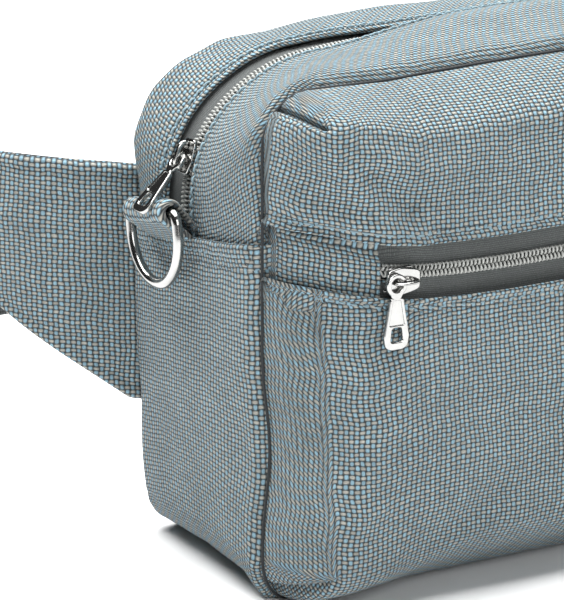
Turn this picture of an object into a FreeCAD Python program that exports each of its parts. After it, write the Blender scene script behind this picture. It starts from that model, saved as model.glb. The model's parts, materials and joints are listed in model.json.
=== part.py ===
"""Zipped fabric waist bag with a belt, as a parametric FreeCAD document.

Millimetres, +Z up, +X to the right seen from the front, -Y towards the front.
The origin is the centre of the bag's flat base.  The belt is closed behind the
bag: its wings start at the back edges and its buckle stands on the same floor.
"""

import FreeCAD, Part
import math
import os

import Sketcher

DIMENSIONS = {
    # bag body
    "half_length": (120.0, "half of the bag's length along X"),
    "bag_height": (140.0, "height of the bag body"),
    "front_y": (34.0, "distance of the front seam plane from the origin"),
    "back_y": (34.0, "distance of the back seam plane from the origin"),
    "shoulder_radius": (40.0, "top corner radius of the gusset, which the zip follows"),
    "panel_radius": (24.0, "top corner radius of the front pocket"),
    "base_radius": (18.0, "bottom corner radius"),
    "wall": (2.4, "thickness of the padded outer fabric"),
    "divider": (1.2, "thickness of the wall between pocket and compartment"),
    "binding_wide": (5.0, "width of the tape over a raw seam edge"),
    "binding_thick": (1.0, "thickness of the tape over a raw seam edge"),
    "lining_thick": (0.8, "thickness of the inner lining"),
    "lining_air": (1.2, "air between the padded walls and the lining"),
    "lining_end_air": (0.3, "air between the lining's ends and the front and back walls"),
    "lining_slot_front": (8.0, "zip line to the front edge of the lining's opening"),
    "lining_slot_back": (11.0, "zip line to the back edge of the lining's opening"),
    "back_thickness": (3.0, "thickness of the padded back panel"),
    "side_seam_z": (94.0, "height of the seam between the zip strips and the lower gusset"),
    # front pocket
    "pocket_depth": (24.0, "how far the front pocket stands out of the front seam"),
    "pocket_round": (13.0, "rounding of the pocket's front edge"),
    "pocket_zip_z": (90.5, "height of the pocket zip's line"),
    "window_half": (7.0, "half height of the window in which the pocket zip shows"),
    "window_end": (95.0, "half length of the pocket zip's window"),
    # zips
    "zip_line_y": (5.0, "distance of the main zip's line behind the origin"),
    "main_window_front": (4.5, "main zip line to the front strip's edge"),
    "main_window_back": (8.0, "main zip line to the back strip's edge"),
    "tape_half": (12.5, "width of one zip tape from the zip's line"),
    "tape_thick": (0.8, "thickness of a zip tape"),
    "coil_gap": (0.8, "half of the gap between the two coils and the two tapes"),
    "coil_width": (1.5, "width of one coil"),
    "coil_rise": (1.6, "height of a coil above its tape"),
    "tape_gap": (0.1, "air between the outer fabric and the tape sewn behind it"),
    "zip_foot_z": (97.0, "height at which the main zip's coils end"),
    # slider and pull, shared by both zips
    "slider_length": (9.6, "length of a slider along its zip"),
    "slider_width": (7.4, "width of a slider"),
    "slider_plate": (1.1, "thickness of a slider's plates"),
    "slider_clear": (0.45, "air between the coils and the slider's top plate"),
    "slider_throat": (3.75, "distance between the slider's two plates"),
    "slider_tail_cut": (1.4, "narrowing of the slider on each side at its tail"),
    "slider_waist_cut": (0.9, "narrowing of the slider on each side just before its tail"),
    "slider_mouth_cut": (0.8, "narrowing of the slider on each side at its mouth"),
    "slider_widest": (1.2, "widest place of the slider ahead of its middle"),
    "wedge_start": (0.8, "start of the slider's wedge ahead of its middle"),
    "wedge_half": (0.45, "half thickness of the slider's wedge"),
    "joined": (0.2, "depth by which joined shapes run into each other"),
    "flange_start": (0.4, "start of the slider's flanges ahead of its middle"),
    "flange_end": (2.0, "end of the slider's flanges ahead of its middle"),
    "flange_drop": (1.2, "depth of the slider's flanges below the top plate"),
    "flange_thick": (0.5, "thickness of the slider's flanges"),
    "bridge_rise": (1.85, "air under the slider's bridge"),
    "bridge_thick": (1.0, "thickness of the slider's bridge"),
    "bridge_width": (2.2, "width of the slider's bridge"),
    "bridge_half": (3.5, "half length of the slider's bridge"),
    "bridge_chamfer": (0.5, "chamfer of the bridge's outer corners"),
    "pull_length": (20.0, "length of a zip pull over all"),
    "pull_thick": (1.3, "thickness of a zip pull"),
    "pull_eye_width": (5.6, "outer width of a pull at its eye"),
    "pull_neck_width": (4.2, "width of a pull at its neck"),
    "pull_tip_width": (7.6, "width of a pull near its tip"),
    "pull_bar": (0.65, "half thickness of the bar at the pull's eye"),
    "pull_air": (0.1, "air between the hanging pull and the leg that carries it"),
    "pull_eye_end": (4.4, "pivot to the end of the pull's eye"),
    "pull_eye_half": (1.6, "half width of the opening in the pull's eye"),
    "pull_eye_cut": (0.7, "corner cut of the opening in the pull's eye"),
    "pull_head_cut": (1.4, "corner cut of the pull's head"),
    "pull_neck_run": (1.4, "end of the eye to the pull's neck"),
    "pull_tip_start": (4.2, "widest place of the pull from its far end"),
    "pull_tip_cut": (0.9, "facet of the pull's tip along its length"),
    "pull_tip_side": (0.4, "facet of the pull's tip on each side"),
    "pull_tip_end": (1.9, "narrowing of the pull's far end on each side"),
    "pull_window_top": (6.8, "start of the pull's window from its far end"),
    "pull_window_low": (2.9, "end of the pull's window from its far end"),
    "pull_window_half": (1.5, "half width of the pull's window at its start"),
    "pull_window_wide": (1.7, "half width of the pull's window at its end"),
    "main_slider_turn": (19.5, "rest place of the main slider round the shoulder, degrees"),
    "main_pull_lean": (44.0, "lean of the main pull away from the hanging line, degrees"),
    "pocket_slider_x": (89.5, "distance of the pocket slider left of the origin"),
    # rings and their tabs
    "ring_wire": (2.9, "wire diameter of a ring"),
    "ring_span": (26.9, "width of a ring between wire centres"),
    "ring_drop": (19.4, "height of a ring between wire centres"),
    "ring_corner": (3.0, "bend radius at the ends of a ring's straight bar"),
    "ring_bar_x": (127.0, "distance of the ring's bar from the middle of the bag"),
    "ring_bar_y": (7.5, "distance of the ring's centre behind the origin"),
    "ring_bar_z": (99.0, "height of the ring's bar"),
    "ring_tilt": (10.0, "rise of the ring's bar towards the front, degrees"),
    "tab_width": (22.0, "width of the fabric tab that holds a ring"),
    "tab_cloth": (1.1, "thickness of the tab's fabric"),
    "tab_clear": (0.35, "air between the ring's bar and the tab"),
    "tab_foot_in": (1.3, "depth of the tab's foot inside the bag's side"),
    "tab_foot_low": (1.5, "depth of the tab's foot below the side seam"),
    "tab_foot_half": (1.2, "half thickness of the tab at its foot"),
    "tab_slit_half": (0.2, "half width of the gap between the tab's two layers at the foot"),
    "tab_joined": (1.6, "length over which the tab's two layers are sewn together"),
    # belt
    "wing_low": (37.5, "lower edge of a wing at the bag"),
    "wing_high": (105.0, "upper edge of a wing"),
    "wing_first": (8.0, "first straight stretch of a wing"),
    "wing_start_turn": (20.0, "direction of a wing where it leaves the bag, degrees"),
    "wing_end_turn": (62.0, "direction of a wing at its end, degrees"),
    "wing_radius": (36.0, "radius of a wing's bend"),
    "wing_last": (22.0, "last straight stretch of a wing"),
    "wing_cloth": (2.4, "thickness of a wing's outer fabric and foam"),
    "wing_mesh": (1.4, "thickness of a wing's mesh backing"),
    "wing_start_out": (0.7, "gap between the bag's end and a wing's start"),
    "wing_start_back": (2.2, "distance of a wing's start behind the bag"),
    "wing_flat": (4.0, "length of a wing's lower edge before it tapers"),
    "wing_hem": (1.0, "wing above and below the webbing at its end"),
    "webbing_width": (30.0, "width of the belt webbing"),
    "webbing_thick": (1.6, "thickness of the belt webbing"),
    "webbing_floor": (4.0, "height of the webbing's lower edge at the buckle"),
    "webbing_sink_rate": (1.45, "how early the webbing reaches the floor"),
    "belt_straight": (62.0, "distance from the buckle's middle to the end of the belt's straight stretch"),
    # buckle
    "buckle_half": (30.0, "half length of the closed buckle"),
    "buckle_split": (4.0, "place of the joint between socket and prongs right of the middle"),
    "buckle_width": (38.0, "width of the buckle"),
    "buckle_thick": (10.5, "thickness of the buckle"),
    "buckle_low": (0.2, "height of the buckle's lower edge"),
    "buckle_wall": (2.0, "wall thickness of the buckle's socket"),
    "socket_depth": (24.0, "depth of the socket's cavity"),
    "buckle_corner": (4.0, "corner radius of the buckle"),
    "mouth_inset": (1.5, "extra wall above and below the socket's mouth"),
    "window_near": (4.0, "near end of the socket's side windows left of the middle"),
    "window_far": (15.0, "far end of the socket's side windows left of the middle"),
    "window_deep": (5.0, "depth of the socket's side windows"),
    "slot_wide": (3.2, "width of a slot for the webbing"),
    "slot_edge": (2.7, "bar between the buckle's end and its first slot"),
    "slot_inset": (3.2, "end of a slot from the buckle's edge"),
    "adjust_slot_far": (12.0, "second slot of the prong half from the buckle's end"),
    "frame_inset": (1.2, "prong half's frame inside the socket's thickness"),
    "split_air": (0.4, "air between the socket's mouth and the prong half's frame"),
    "arm_reach": (15.5, "reach of the prongs left of the middle"),
    "arm_tongue_reach": (12.0, "reach of the middle tongue left of the middle"),
    "arm_air": (2.0, "socket wall to a prong arm"),
    "arm_wide": (3.4, "width of a prong arm"),
    "arm_half_thick": (2.4, "half thickness of the prong arms"),
    "tongue_half": (2.2, "half width of the middle tongue"),
    "keeper_away": (6.0, "buckle's end to the keeper loop"),
    "keeper_long": (8.0, "length of the keeper loop along the belt"),
    "keeper_thick": (1.6, "wall of the keeper loop above and below the webbing"),
    "keeper_air": (0.4, "air above and below the webbing in the keeper"),
    "keeper_hollow_half": (2.0, "half depth of the keeper's opening"),
    "keeper_side": (1.4, "wall of the keeper loop in front of and behind the webbing"),
}

doc = FreeCAD.newDocument("waist_bag")
sheet = doc.addObject("Spreadsheet::Sheet", "Sizes")
for row, (alias, (value, meaning)) in enumerate(DIMENSIONS.items(), start=1):
    sheet.set("A%d" % row, meaning)
    sheet.set("B%d" % row, str(value))
    sheet.setAlias("B%d" % row, alias)
doc.recompute()

nodes = []


def size(alias):
    """Value of one driving dimension."""
    return float(getattr(sheet, alias))


def worth(expression):
    """Value of an expression in the sheet's aliases, worked out by FreeCAD."""
    answer = sheet.evalExpression(expression)
    return float(getattr(answer, "Value", answer))


def bound(alias_expression):
    """The same expression as other objects write it, with the sheet's name before each alias."""
    words = []
    word = ""
    for letter in alias_expression + " ":
        if letter.isalnum() or letter == "_":
            word += letter
            continue
        words.append("Sizes." + word if word in DIMENSIONS else word)
        words.append(letter)
        word = ""
    return "".join(words).strip()


def bind(thing, prop, expression):
    thing.setExpression(prop, bound(expression))


def keep(thing, label):
    """Name a finished sub-part and put it on the list of nodes."""
    thing.Label = label
    nodes.append(thing)
    return thing


# ---------------------------------------------------------------- sketch helpers

def new_body(name):
    return doc.addObject("PartDesign::Body", name)


def plane_of(body, role):
    return [item for item in body.Origin.OriginFeatures if item.Role == role][0]


def sketch_on(body, name, role, offset="0"):
    """Sketch on one of the body's origin planes, moved along its normal by offset."""
    sketch = body.newObject("Sketcher::SketchObject", name)
    sketch.AttachmentSupport = (plane_of(body, role), [""])
    sketch.MapMode = "FlatFace"
    sketch.AttachmentOffset = FreeCAD.Placement(FreeCAD.Vector(0, 0, worth(offset)), FreeCAD.Rotation())
    bind(sketch, "AttachmentOffset.Base.z", offset)
    return sketch


def add_bound(sketch, constraint, expression):
    index = sketch.addConstraint(constraint)
    bind(sketch, "Constraints[%d]" % index, expression)


def pin_point(sketch, kind, geometry, end, expression):
    """Fix one coordinate of a sketch point, measured from the sketch's origin."""
    value = worth(expression)
    if abs(value) < 1e-9:
        axis = -1 if kind == "DistanceY" else -2
        sketch.addConstraint(Sketcher.Constraint("PointOnObject", geometry, end, axis))
    elif value > 0:
        add_bound(sketch, Sketcher.Constraint(kind, -1, 1, geometry, end, value), expression)
    else:
        add_bound(sketch, Sketcher.Constraint(kind, geometry, end, -1, 1, -value), "-(%s)" % expression)


def polygon(sketch, points):
    """Closed polygon whose corners are pairs of expressions."""
    corners = [FreeCAD.Vector(worth(across), worth(along), 0) for across, along in points]
    first = sketch.GeometryCount
    count = len(corners)
    for number in range(count):
        sketch.addGeometry(Part.LineSegment(corners[number], corners[(number + 1) % count]))
    for number in range(count):
        following = first + (number + 1) % count
        sketch.addConstraint(Sketcher.Constraint("Coincident", first + number, 2, following, 1))
    for number, (across, along) in enumerate(points):
        pin_point(sketch, "DistanceX", first + number, 1, across)
        pin_point(sketch, "DistanceY", first + number, 1, along)


def rectangle(sketch, left, right, low, high):
    polygon(sketch, [(left, low), (right, low), (right, high), (left, high)])


def circle(sketch, across, along, radius):
    centre = FreeCAD.Vector(worth(across), worth(along), 0)
    index = sketch.addGeometry(Part.Circle(centre, FreeCAD.Vector(0, 0, 1), worth(radius)))
    pin_point(sketch, "DistanceX", index, 3, across)
    pin_point(sketch, "DistanceY", index, 3, along)
    add_bound(sketch, Sketcher.Constraint("Radius", index, worth(radius)), radius)


def rounded_loop(sketch, left, right, low, high, low_radius, high_radius):
    """Rectangle with rounded corners: four lines, four tangent arcs, all driven by expressions."""
    x0, x1, z0, z1 = (worth(text) for text in (left, right, low, high))
    corners = [
        (x1, z0, -1, 1, low_radius, 270),
        (x1, z1, -1, -1, high_radius, 0),
        (x0, z1, 1, -1, high_radius, 90),
        (x0, z0, 1, 1, low_radius, 180),
    ]
    first = sketch.GeometryCount
    ends = []
    for x, z, to_x, to_z, radius_text, start in corners:
        radius = worth(radius_text)
        centre = FreeCAD.Vector(x + to_x * radius, z + to_z * radius, 0)
        ring = Part.Circle(centre, FreeCAD.Vector(0, 0, 1), radius)
        sketch.addGeometry(Part.ArcOfCircle(ring, math.radians(start), math.radians(start + 90)))
        ends.append([centre + FreeCAD.Vector(math.cos(math.radians(angle)), math.sin(math.radians(angle)), 0) * radius
                     for angle in (start, start + 90)])
    for number in range(4):
        sketch.addGeometry(Part.LineSegment(ends[number][1], ends[(number + 1) % 4][0]))
    for number in range(4):
        line = first + 4 + number
        sketch.addConstraint(Sketcher.Constraint("Tangent", first + number, 2, line, 1))
        sketch.addConstraint(Sketcher.Constraint("Tangent", line, 2, first + (number + 1) % 4, 1))
    for number, kind in enumerate(("Vertical", "Horizontal", "Vertical", "Horizontal")):
        sketch.addConstraint(Sketcher.Constraint(kind, first + 4 + number))
    pin_point(sketch, "DistanceX", first + 4, 1, right)
    pin_point(sketch, "DistanceY", first + 5, 1, high)
    pin_point(sketch, "DistanceX", first + 6, 1, left)
    pin_point(sketch, "DistanceY", first + 7, 1, low)
    for number, radius_text in enumerate((low_radius, high_radius, high_radius, low_radius)):
        arc = Sketcher.Constraint("Radius", first + number, worth(radius_text))
        add_bound(sketch, arc, radius_text)


def outline(sketch, inset, high_radius="shoulder_radius"):
    """The bag's outline in the XZ plane, moved inwards by inset."""
    rounded_loop(
        sketch,
        "-(half_length - (%s))" % inset, "half_length - (%s)" % inset,
        inset, "bag_height - (%s)" % inset,
        "base_radius - (%s)" % inset, "%s - (%s)" % (high_radius, inset),
    )


def pad(body, sketch, length, name="Pad"):
    feature = body.newObject("PartDesign::Pad", name)
    feature.Profile = sketch
    feature.Length = worth(length)
    bind(feature, "Length", length)
    return feature


def pocket_through(body, sketch, name="Pocket"):
    """Cut a sketch right through the body on both sides of its plane."""
    feature = body.newObject("PartDesign::Pocket", name)
    feature.Profile = sketch
    feature.Type = "ThroughAll"
    feature.SideType = "Symmetric"
    return feature


def block(name, x_from, x_to, y_from, y_to, z_from, z_to):
    """Box between three pairs of expressions, used to trim other solids."""
    item = doc.addObject("Part::Box", name)
    for side, low, high in (("Length", x_from, x_to), ("Width", y_from, y_to), ("Height", z_from, z_to)):
        bind(item, side, "(%s) - (%s)" % (high, low))
    for axis, low in (("x", x_from), ("y", y_from), ("z", z_from)):
        bind(item, "Placement.Base." + axis, low)
    return item


def combine(kind, name, base, tool):
    item = doc.addObject("Part::" + kind, name)
    item.Base = base
    item.Tool = tool
    return item


def mirrored(name, source):
    """The same piece on the bag's other side."""
    item = doc.addObject("Part::Mirroring", name)
    item.Source = source
    item.Normal = (1, 0, 0)
    return keep(item, name)


# ---------------------------------------------------------------- bag body

def ring_band(name, inset, thickness, y_low, y_high):
    """Closed band that follows the bag's outline, between two planes across Y."""
    body = new_body(name)
    sketch = sketch_on(body, name + "_profile", "XZ_Plane", "-(%s)" % y_high)
    outline(sketch, inset)
    outline(sketch, "%s + %s" % (inset, thickness))
    pad(body, sketch, "(%s) - (%s)" % (y_high, y_low))
    return body


def plate(name, y_low, y_high, inset="0", high_radius="shoulder_radius"):
    """Flat panel of the bag's outline."""
    body = new_body(name)
    sketch = sketch_on(body, name + "_profile", "XZ_Plane", "-(%s)" % y_high)
    outline(sketch, inset, high_radius)
    pad(body, sketch, "(%s) - (%s)" % (y_high, y_low))
    return body


ABOVE = ("-2 * half_length", "2 * half_length", "-3 * front_y", "3 * back_y")
ZIP_FRONT_EDGE = "zip_line_y - main_window_front"
ZIP_BACK_EDGE = "zip_line_y + main_window_back"
GUSSET_FRONT = "-front_y + divider"


def make_gusset():
    """The band round the bag: a lower part, and two strips with the zip between them above it."""
    lower = ring_band("gusset_lower_band", "0", "wall", GUSSET_FRONT, "back_y")
    under = block("below_side_seam", *ABOVE, "-10", "side_seam_z")
    keep(combine("Common", "gusset_lower", lower, under), "gusset_lower")
    strips = (
        ("gusset_front_strip", GUSSET_FRONT, ZIP_FRONT_EDGE),
        ("gusset_back_strip", ZIP_BACK_EDGE, "back_y"),
    )
    for name, y_low, y_high in strips:
        band = ring_band(name + "_band", "0", "wall", y_low, y_high)
        over = block(name + "_limit", *ABOVE, "side_seam_z", "2 * bag_height")
        keep(combine("Common", name, band, over), name)


def make_main_zip():
    """Two tapes behind the strips' edges, each with a coil on its inner edge."""
    tape_inset = "wall + tape_gap"
    coil_inset = "wall + tape_gap - coil_rise"
    sides = (
        ("front", "zip_line_y - tape_half", "zip_line_y - coil_gap",
         "zip_line_y - coil_gap - coil_width", "zip_line_y - coil_gap"),
        ("back", "zip_line_y + coil_gap", "zip_line_y + tape_half",
         "zip_line_y + coil_gap", "zip_line_y + coil_gap + coil_width"),
    )
    for side, tape_low, tape_high, coil_low, coil_high in sides:
        for part, inset, thick, y_low, y_high in (
            ("tape", tape_inset, "tape_thick", tape_low, tape_high),
            ("coil", coil_inset, "coil_rise", coil_low, coil_high),
        ):
            name = "main_zip_%s_%s" % (part, side)
            band = ring_band(name + "_band", inset, thick, y_low, y_high)
            over = block(name + "_limit", *ABOVE, "zip_foot_z", "2 * bag_height")
            keep(combine("Common", name, band, over), name)


def make_panels():
    """Back panel, and the wall between the front pocket and the main compartment."""
    keep(plate("back_panel", "back_y", "back_y + back_thickness"), "back_panel")
    keep(plate("pocket_divider", "-front_y", GUSSET_FRONT), "pocket_divider")


def make_bindings():
    """Tapes that cover the raw seam edges inside the bag."""
    keep(ring_band("front_seam_binding", "wall", "binding_thick", GUSSET_FRONT,
                   "-front_y + divider + binding_wide"), "front_seam_binding")
    keep(ring_band("back_seam_binding", "wall", "binding_thick", "back_y - binding_wide", "back_y"), "back_seam_binding")


def make_lining():
    """Thin inner bag, open along the zip."""
    depth = ("-front_y + divider + lining_end_air", "back_y - lining_end_air")
    outer = plate("lining_outside", depth[0], depth[1], "wall + lining_air")
    inner = plate("lining_inside", depth[0] + " + lining_thick", depth[1] + " - lining_thick",
                  "wall + lining_air + lining_thick")
    shell = combine("Cut", "lining_shell", outer, inner)
    slot = block("lining_slot", "-2 * half_length", "2 * half_length",
                 "zip_line_y - lining_slot_front", "zip_line_y + lining_slot_back", "zip_foot_z", "2 * bag_height")
    keep(combine("Cut", "main_lining", shell, slot), "main_lining")


# ---------------------------------------------------------------- front pocket

def make_pocket_tray():
    """The pocket's outer shape: a rounded tray, hollow, open towards the divider."""
    body = new_body("pocket_tray")
    sketch = sketch_on(body, "tray_outline", "XZ_Plane", "front_y")
    outline(sketch, "0", "panel_radius")
    block_out = pad(body, sketch, "pocket_depth")
    doc.recompute()
    front = "Face%d" % (1 + min(range(len(body.Shape.Faces)),
                                key=lambda n: body.Shape.Faces[n].CenterOfMass.y))
    rounding = body.newObject("PartDesign::Fillet", "front_rounding")
    rounding.Base = (block_out, [front])
    rounding.Radius = size("pocket_round")
    bind(rounding, "Radius", "pocket_round")
    body.Tip = rounding
    doc.recompute()
    rear = "Face%d" % (1 + max(range(len(body.Shape.Faces)),
                               key=lambda n: body.Shape.Faces[n].CenterOfMass.y))
    shell = body.newObject("PartDesign::Thickness", "hollow")
    shell.Base = (rounding, [rear])
    shell.Value = size("wall")
    bind(shell, "Value", "wall")
    shell.Reversed = True
    body.Tip = shell
    return body


def make_pocket():
    """Front panel above and below the zip, and the fabric ends beside the zip's window."""
    tray = make_pocket_tray()
    window_low = "pocket_zip_z - window_half"
    window_high = "pocket_zip_z + window_half"
    far = ("-3 * front_y", "0")
    wide = ("-2 * half_length", "2 * half_length")
    regions = (
        ("front_panel_upper", wide, window_high, "2 * bag_height"),
        ("front_panel_lower", wide, "-10", window_low),
        ("pocket_zip_end_left", ("-2 * half_length", "-window_end"), window_low, window_high),
        ("pocket_zip_end_right", ("window_end", "2 * half_length"), window_low, window_high),
    )
    for name, across, low, high in regions:
        limit = block(name + "_limit", *across, *far, low, high)
        keep(combine("Common", name, tray, limit), name)


def make_pocket_zip():
    """Two flat tapes behind the window's edges, each with a coil on its inner edge."""
    tape_front = "-(front_y + pocket_depth) + wall + tape_gap"
    for side, sign in (("upper", 1), ("lower", -1)):
        for part, y_low, y_high, near, far, end in (
            ("tape", tape_front, tape_front + " + tape_thick", "coil_gap", "tape_half", "window_end + 6"),
            ("coil", tape_front + " - coil_rise", tape_front, "coil_gap", "coil_gap + coil_width", "window_end"),
        ):
            name = "pocket_zip_%s_%s" % (part, side)
            heights = ["pocket_zip_z + (%d) * (%s)" % (sign, text) for text in (near, far)]
            if sign < 0:
                heights.reverse()
            body = new_body(name)
            sketch = sketch_on(body, name + "_profile", "XZ_Plane", "-(%s)" % y_high)
            rectangle(sketch, "-(%s)" % end, end, *heights)
            pad(body, sketch, "(%s) - (%s)" % (y_high, y_low))
            keep(body, name)


# ---------------------------------------------------------------- sliders and pulls

def make_slider(name):
    """Zip slider lying in its own frame: the zip runs along X, outwards is +Z, z = 0 at the top plate's foot."""
    body = new_body(name)
    half_width = "slider_width / 2"
    half_length = "slider_length / 2"
    shoulders = [
        ("-(%s)" % half_length, "-(%s) + slider_tail_cut" % half_width),
        ("-(%s) + slider_widest" % half_length, "-(%s) + slider_waist_cut" % half_width),
        ("slider_widest", "-(%s)" % half_width),
        (half_length, "-(%s) + slider_mouth_cut" % half_width),
        (half_length, "%s - slider_mouth_cut" % half_width),
        ("slider_widest", half_width),
        ("-(%s) + slider_widest" % half_length, "%s - slider_waist_cut" % half_width),
        ("-(%s)" % half_length, "%s - slider_tail_cut" % half_width),
    ]
    top = sketch_on(body, name + "_top", "XY_Plane")
    polygon(top, shoulders)
    pad(body, top, "slider_plate", "top_plate")
    diamond = sketch_on(body, name + "_wedge", "XY_Plane", "-slider_throat - slider_plate")
    rectangle(diamond, "wedge_start", "%s - joined" % half_length, "-wedge_half", "wedge_half")
    pad(body, diamond, "slider_throat + slider_plate + joined", "wedge")
    bottom = sketch_on(body, name + "_bottom", "XY_Plane", "-slider_throat - slider_plate")
    polygon(bottom, shoulders)
    pad(body, bottom, "slider_plate", "bottom_plate")
    for side in ("-1", "1"):
        flange = sketch_on(body, name + "_flange" + ("_a" if side == "1" else "_b"), "XY_Plane", "-flange_drop")
        edges = sorted(["%s * (%s)" % (side, half_width), "%s * (%s - flange_thick)" % (side, half_width)],
                       key=worth)
        rectangle(flange, "flange_start", "flange_end", *edges)
        pad(body, flange, "flange_drop + joined", "flange" + ("_a" if side == "1" else "_b"))
    bridge = sketch_on(body, name + "_bridge", "XZ_Plane", "-bridge_width / 2")
    inner = "bridge_half - bridge_thick"
    foot = "slider_plate - joined"
    roof = "slider_plate + bridge_rise"
    polygon(bridge, [
        ("-bridge_half", foot), ("-(%s)" % inner, foot), ("-(%s)" % inner, roof), (inner, roof),
        (inner, foot), ("bridge_half", foot), ("bridge_half", roof + " + bridge_thick - bridge_chamfer"),
        ("bridge_half - bridge_chamfer", roof + " + bridge_thick"),
        ("-bridge_half + bridge_chamfer", roof + " + bridge_thick"),
        ("-bridge_half", roof + " + bridge_thick - bridge_chamfer"),
    ])
    pad(body, bridge, "bridge_width", "bridge")
    doc.recompute()
    return keep(body, name)


def make_pull(name):
    """Zip pull in its own frame: it hangs along -X from a pivot at the origin, flat in the XY plane."""
    body = new_body(name)
    outer = sketch_on(body, name + "_outline", "XY_Plane", "-pull_thick / 2")
    eye = "pull_eye_width / 2"
    neck = "pull_neck_width / 2"
    tip = "pull_tip_width / 2"
    far_end = "-(pull_length - pull_bar)"
    half_outline = [
        ("pull_bar", "%s - pull_head_cut" % eye), ("pull_bar - pull_head_cut", eye),
        ("-pull_eye_end + pull_eye_cut", eye), ("-pull_eye_end - pull_neck_run", neck),
        (far_end + " + pull_tip_start", tip), (far_end + " + pull_tip_cut", "%s - pull_tip_side" % tip),
        (far_end, "%s - pull_tip_end" % tip),
    ]
    mirrored_half = [(along, "-(%s)" % across) for along, across in reversed(half_outline)]
    polygon(outer, half_outline + mirrored_half)
    pad(body, outer, "pull_thick", "plate")
    hole = sketch_on(body, name + "_eye", "XY_Plane")
    polygon(hole, [
        ("-pull_bar", "-pull_eye_half"), ("-pull_bar", "pull_eye_half"),
        ("-pull_eye_end + pull_eye_cut", "pull_eye_half"), ("-pull_eye_end", "pull_eye_half - pull_eye_cut"),
        ("-pull_eye_end", "-pull_eye_half + pull_eye_cut"), ("-pull_eye_end + pull_eye_cut", "-pull_eye_half"),
    ])
    pocket_through(body, hole, "eye")
    window = sketch_on(body, name + "_window", "XY_Plane")
    polygon(window, [
        (far_end + " + pull_window_top", "-pull_window_half"), (far_end + " + pull_window_top", "pull_window_half"),
        (far_end + " + pull_window_low", "pull_window_wide"), (far_end + " + pull_window_low", "-pull_window_wide"),
    ])
    pocket_through(body, window, "window")
    return keep(body, name)


def place(item, origin, rotation):
    item.Placement = FreeCAD.Placement(FreeCAD.Vector(*origin), rotation)


def turned(x_axis, z_axis):
    """Rotation that carries the local X and Z axes to two directions at right angles."""
    x_vector = FreeCAD.Vector(*x_axis)
    z_vector = FreeCAD.Vector(*z_axis)
    return FreeCAD.Rotation(x_vector, z_vector.cross(x_vector), z_vector, "ZXY")


def slider_depth():
    """Depth of the top plate's foot below the outer fabric's surface."""
    return size("wall") + size("tape_gap") - size("coil_rise") - size("slider_clear")


def make_main_slider():
    """Slider on the left shoulder, its mouth downhill, its pull leaning outwards onto the ring's tab."""
    turn = math.radians(size("main_slider_turn"))
    outward = (-math.cos(turn), 0, math.sin(turn))
    downhill = (-math.sin(turn), 0, -math.cos(turn))
    centre = (-(size("half_length") - size("shoulder_radius")), size("zip_line_y"),
              size("bag_height") - size("shoulder_radius"))
    foot = size("shoulder_radius") - slider_depth()
    place(make_slider("main_slider"),
          [centre[axis] + outward[axis] * foot for axis in range(3)], turned(downhill, outward))
    pivot_radius = foot + size("slider_plate") + size("bridge_rise") / 2
    lean = math.radians(size("main_pull_lean"))
    upwards = (math.sin(lean), 0, math.cos(lean))
    facing = (-math.cos(lean), 0, math.sin(lean))
    place(make_pull("main_pull"),
          [centre[axis] + outward[axis] * pivot_radius for axis in range(3)], turned(upwards, facing))


def make_pocket_slider():
    """Slider at the left end of the closed pocket zip, its pull hanging on the bridge's left leg."""
    surface = -(size("front_y") + size("pocket_depth")) + slider_depth()
    origin = (-size("pocket_slider_x"), surface, size("pocket_zip_z"))
    place(make_slider("pocket_slider"), origin, turned((-1, 0, 0), (0, -1, 0)))
    pivot_y = surface - size("slider_plate") - size("bridge_rise") / 2
    leg_x = origin[0] - size("bridge_half") + size("bridge_thick") / 2
    hang_z = origin[2] + size("bridge_width") / 2 + size("pull_bar") + size("pull_air")
    place(make_pull("pocket_pull"), (leg_x, pivot_y, hang_z), turned((0, 0, 1), (0, -1, 0)))


# ---------------------------------------------------------------- rings and tabs

def ring_frame():
    """Where the left ring's bar lies: rising towards the front."""
    place_of_bar = FreeCAD.Vector(-size("ring_bar_x"), size("ring_bar_y"), size("ring_bar_z"))
    return FreeCAD.Placement(place_of_bar, FreeCAD.Rotation(FreeCAD.Vector(1, 0, 0), -size("ring_tilt")))


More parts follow.
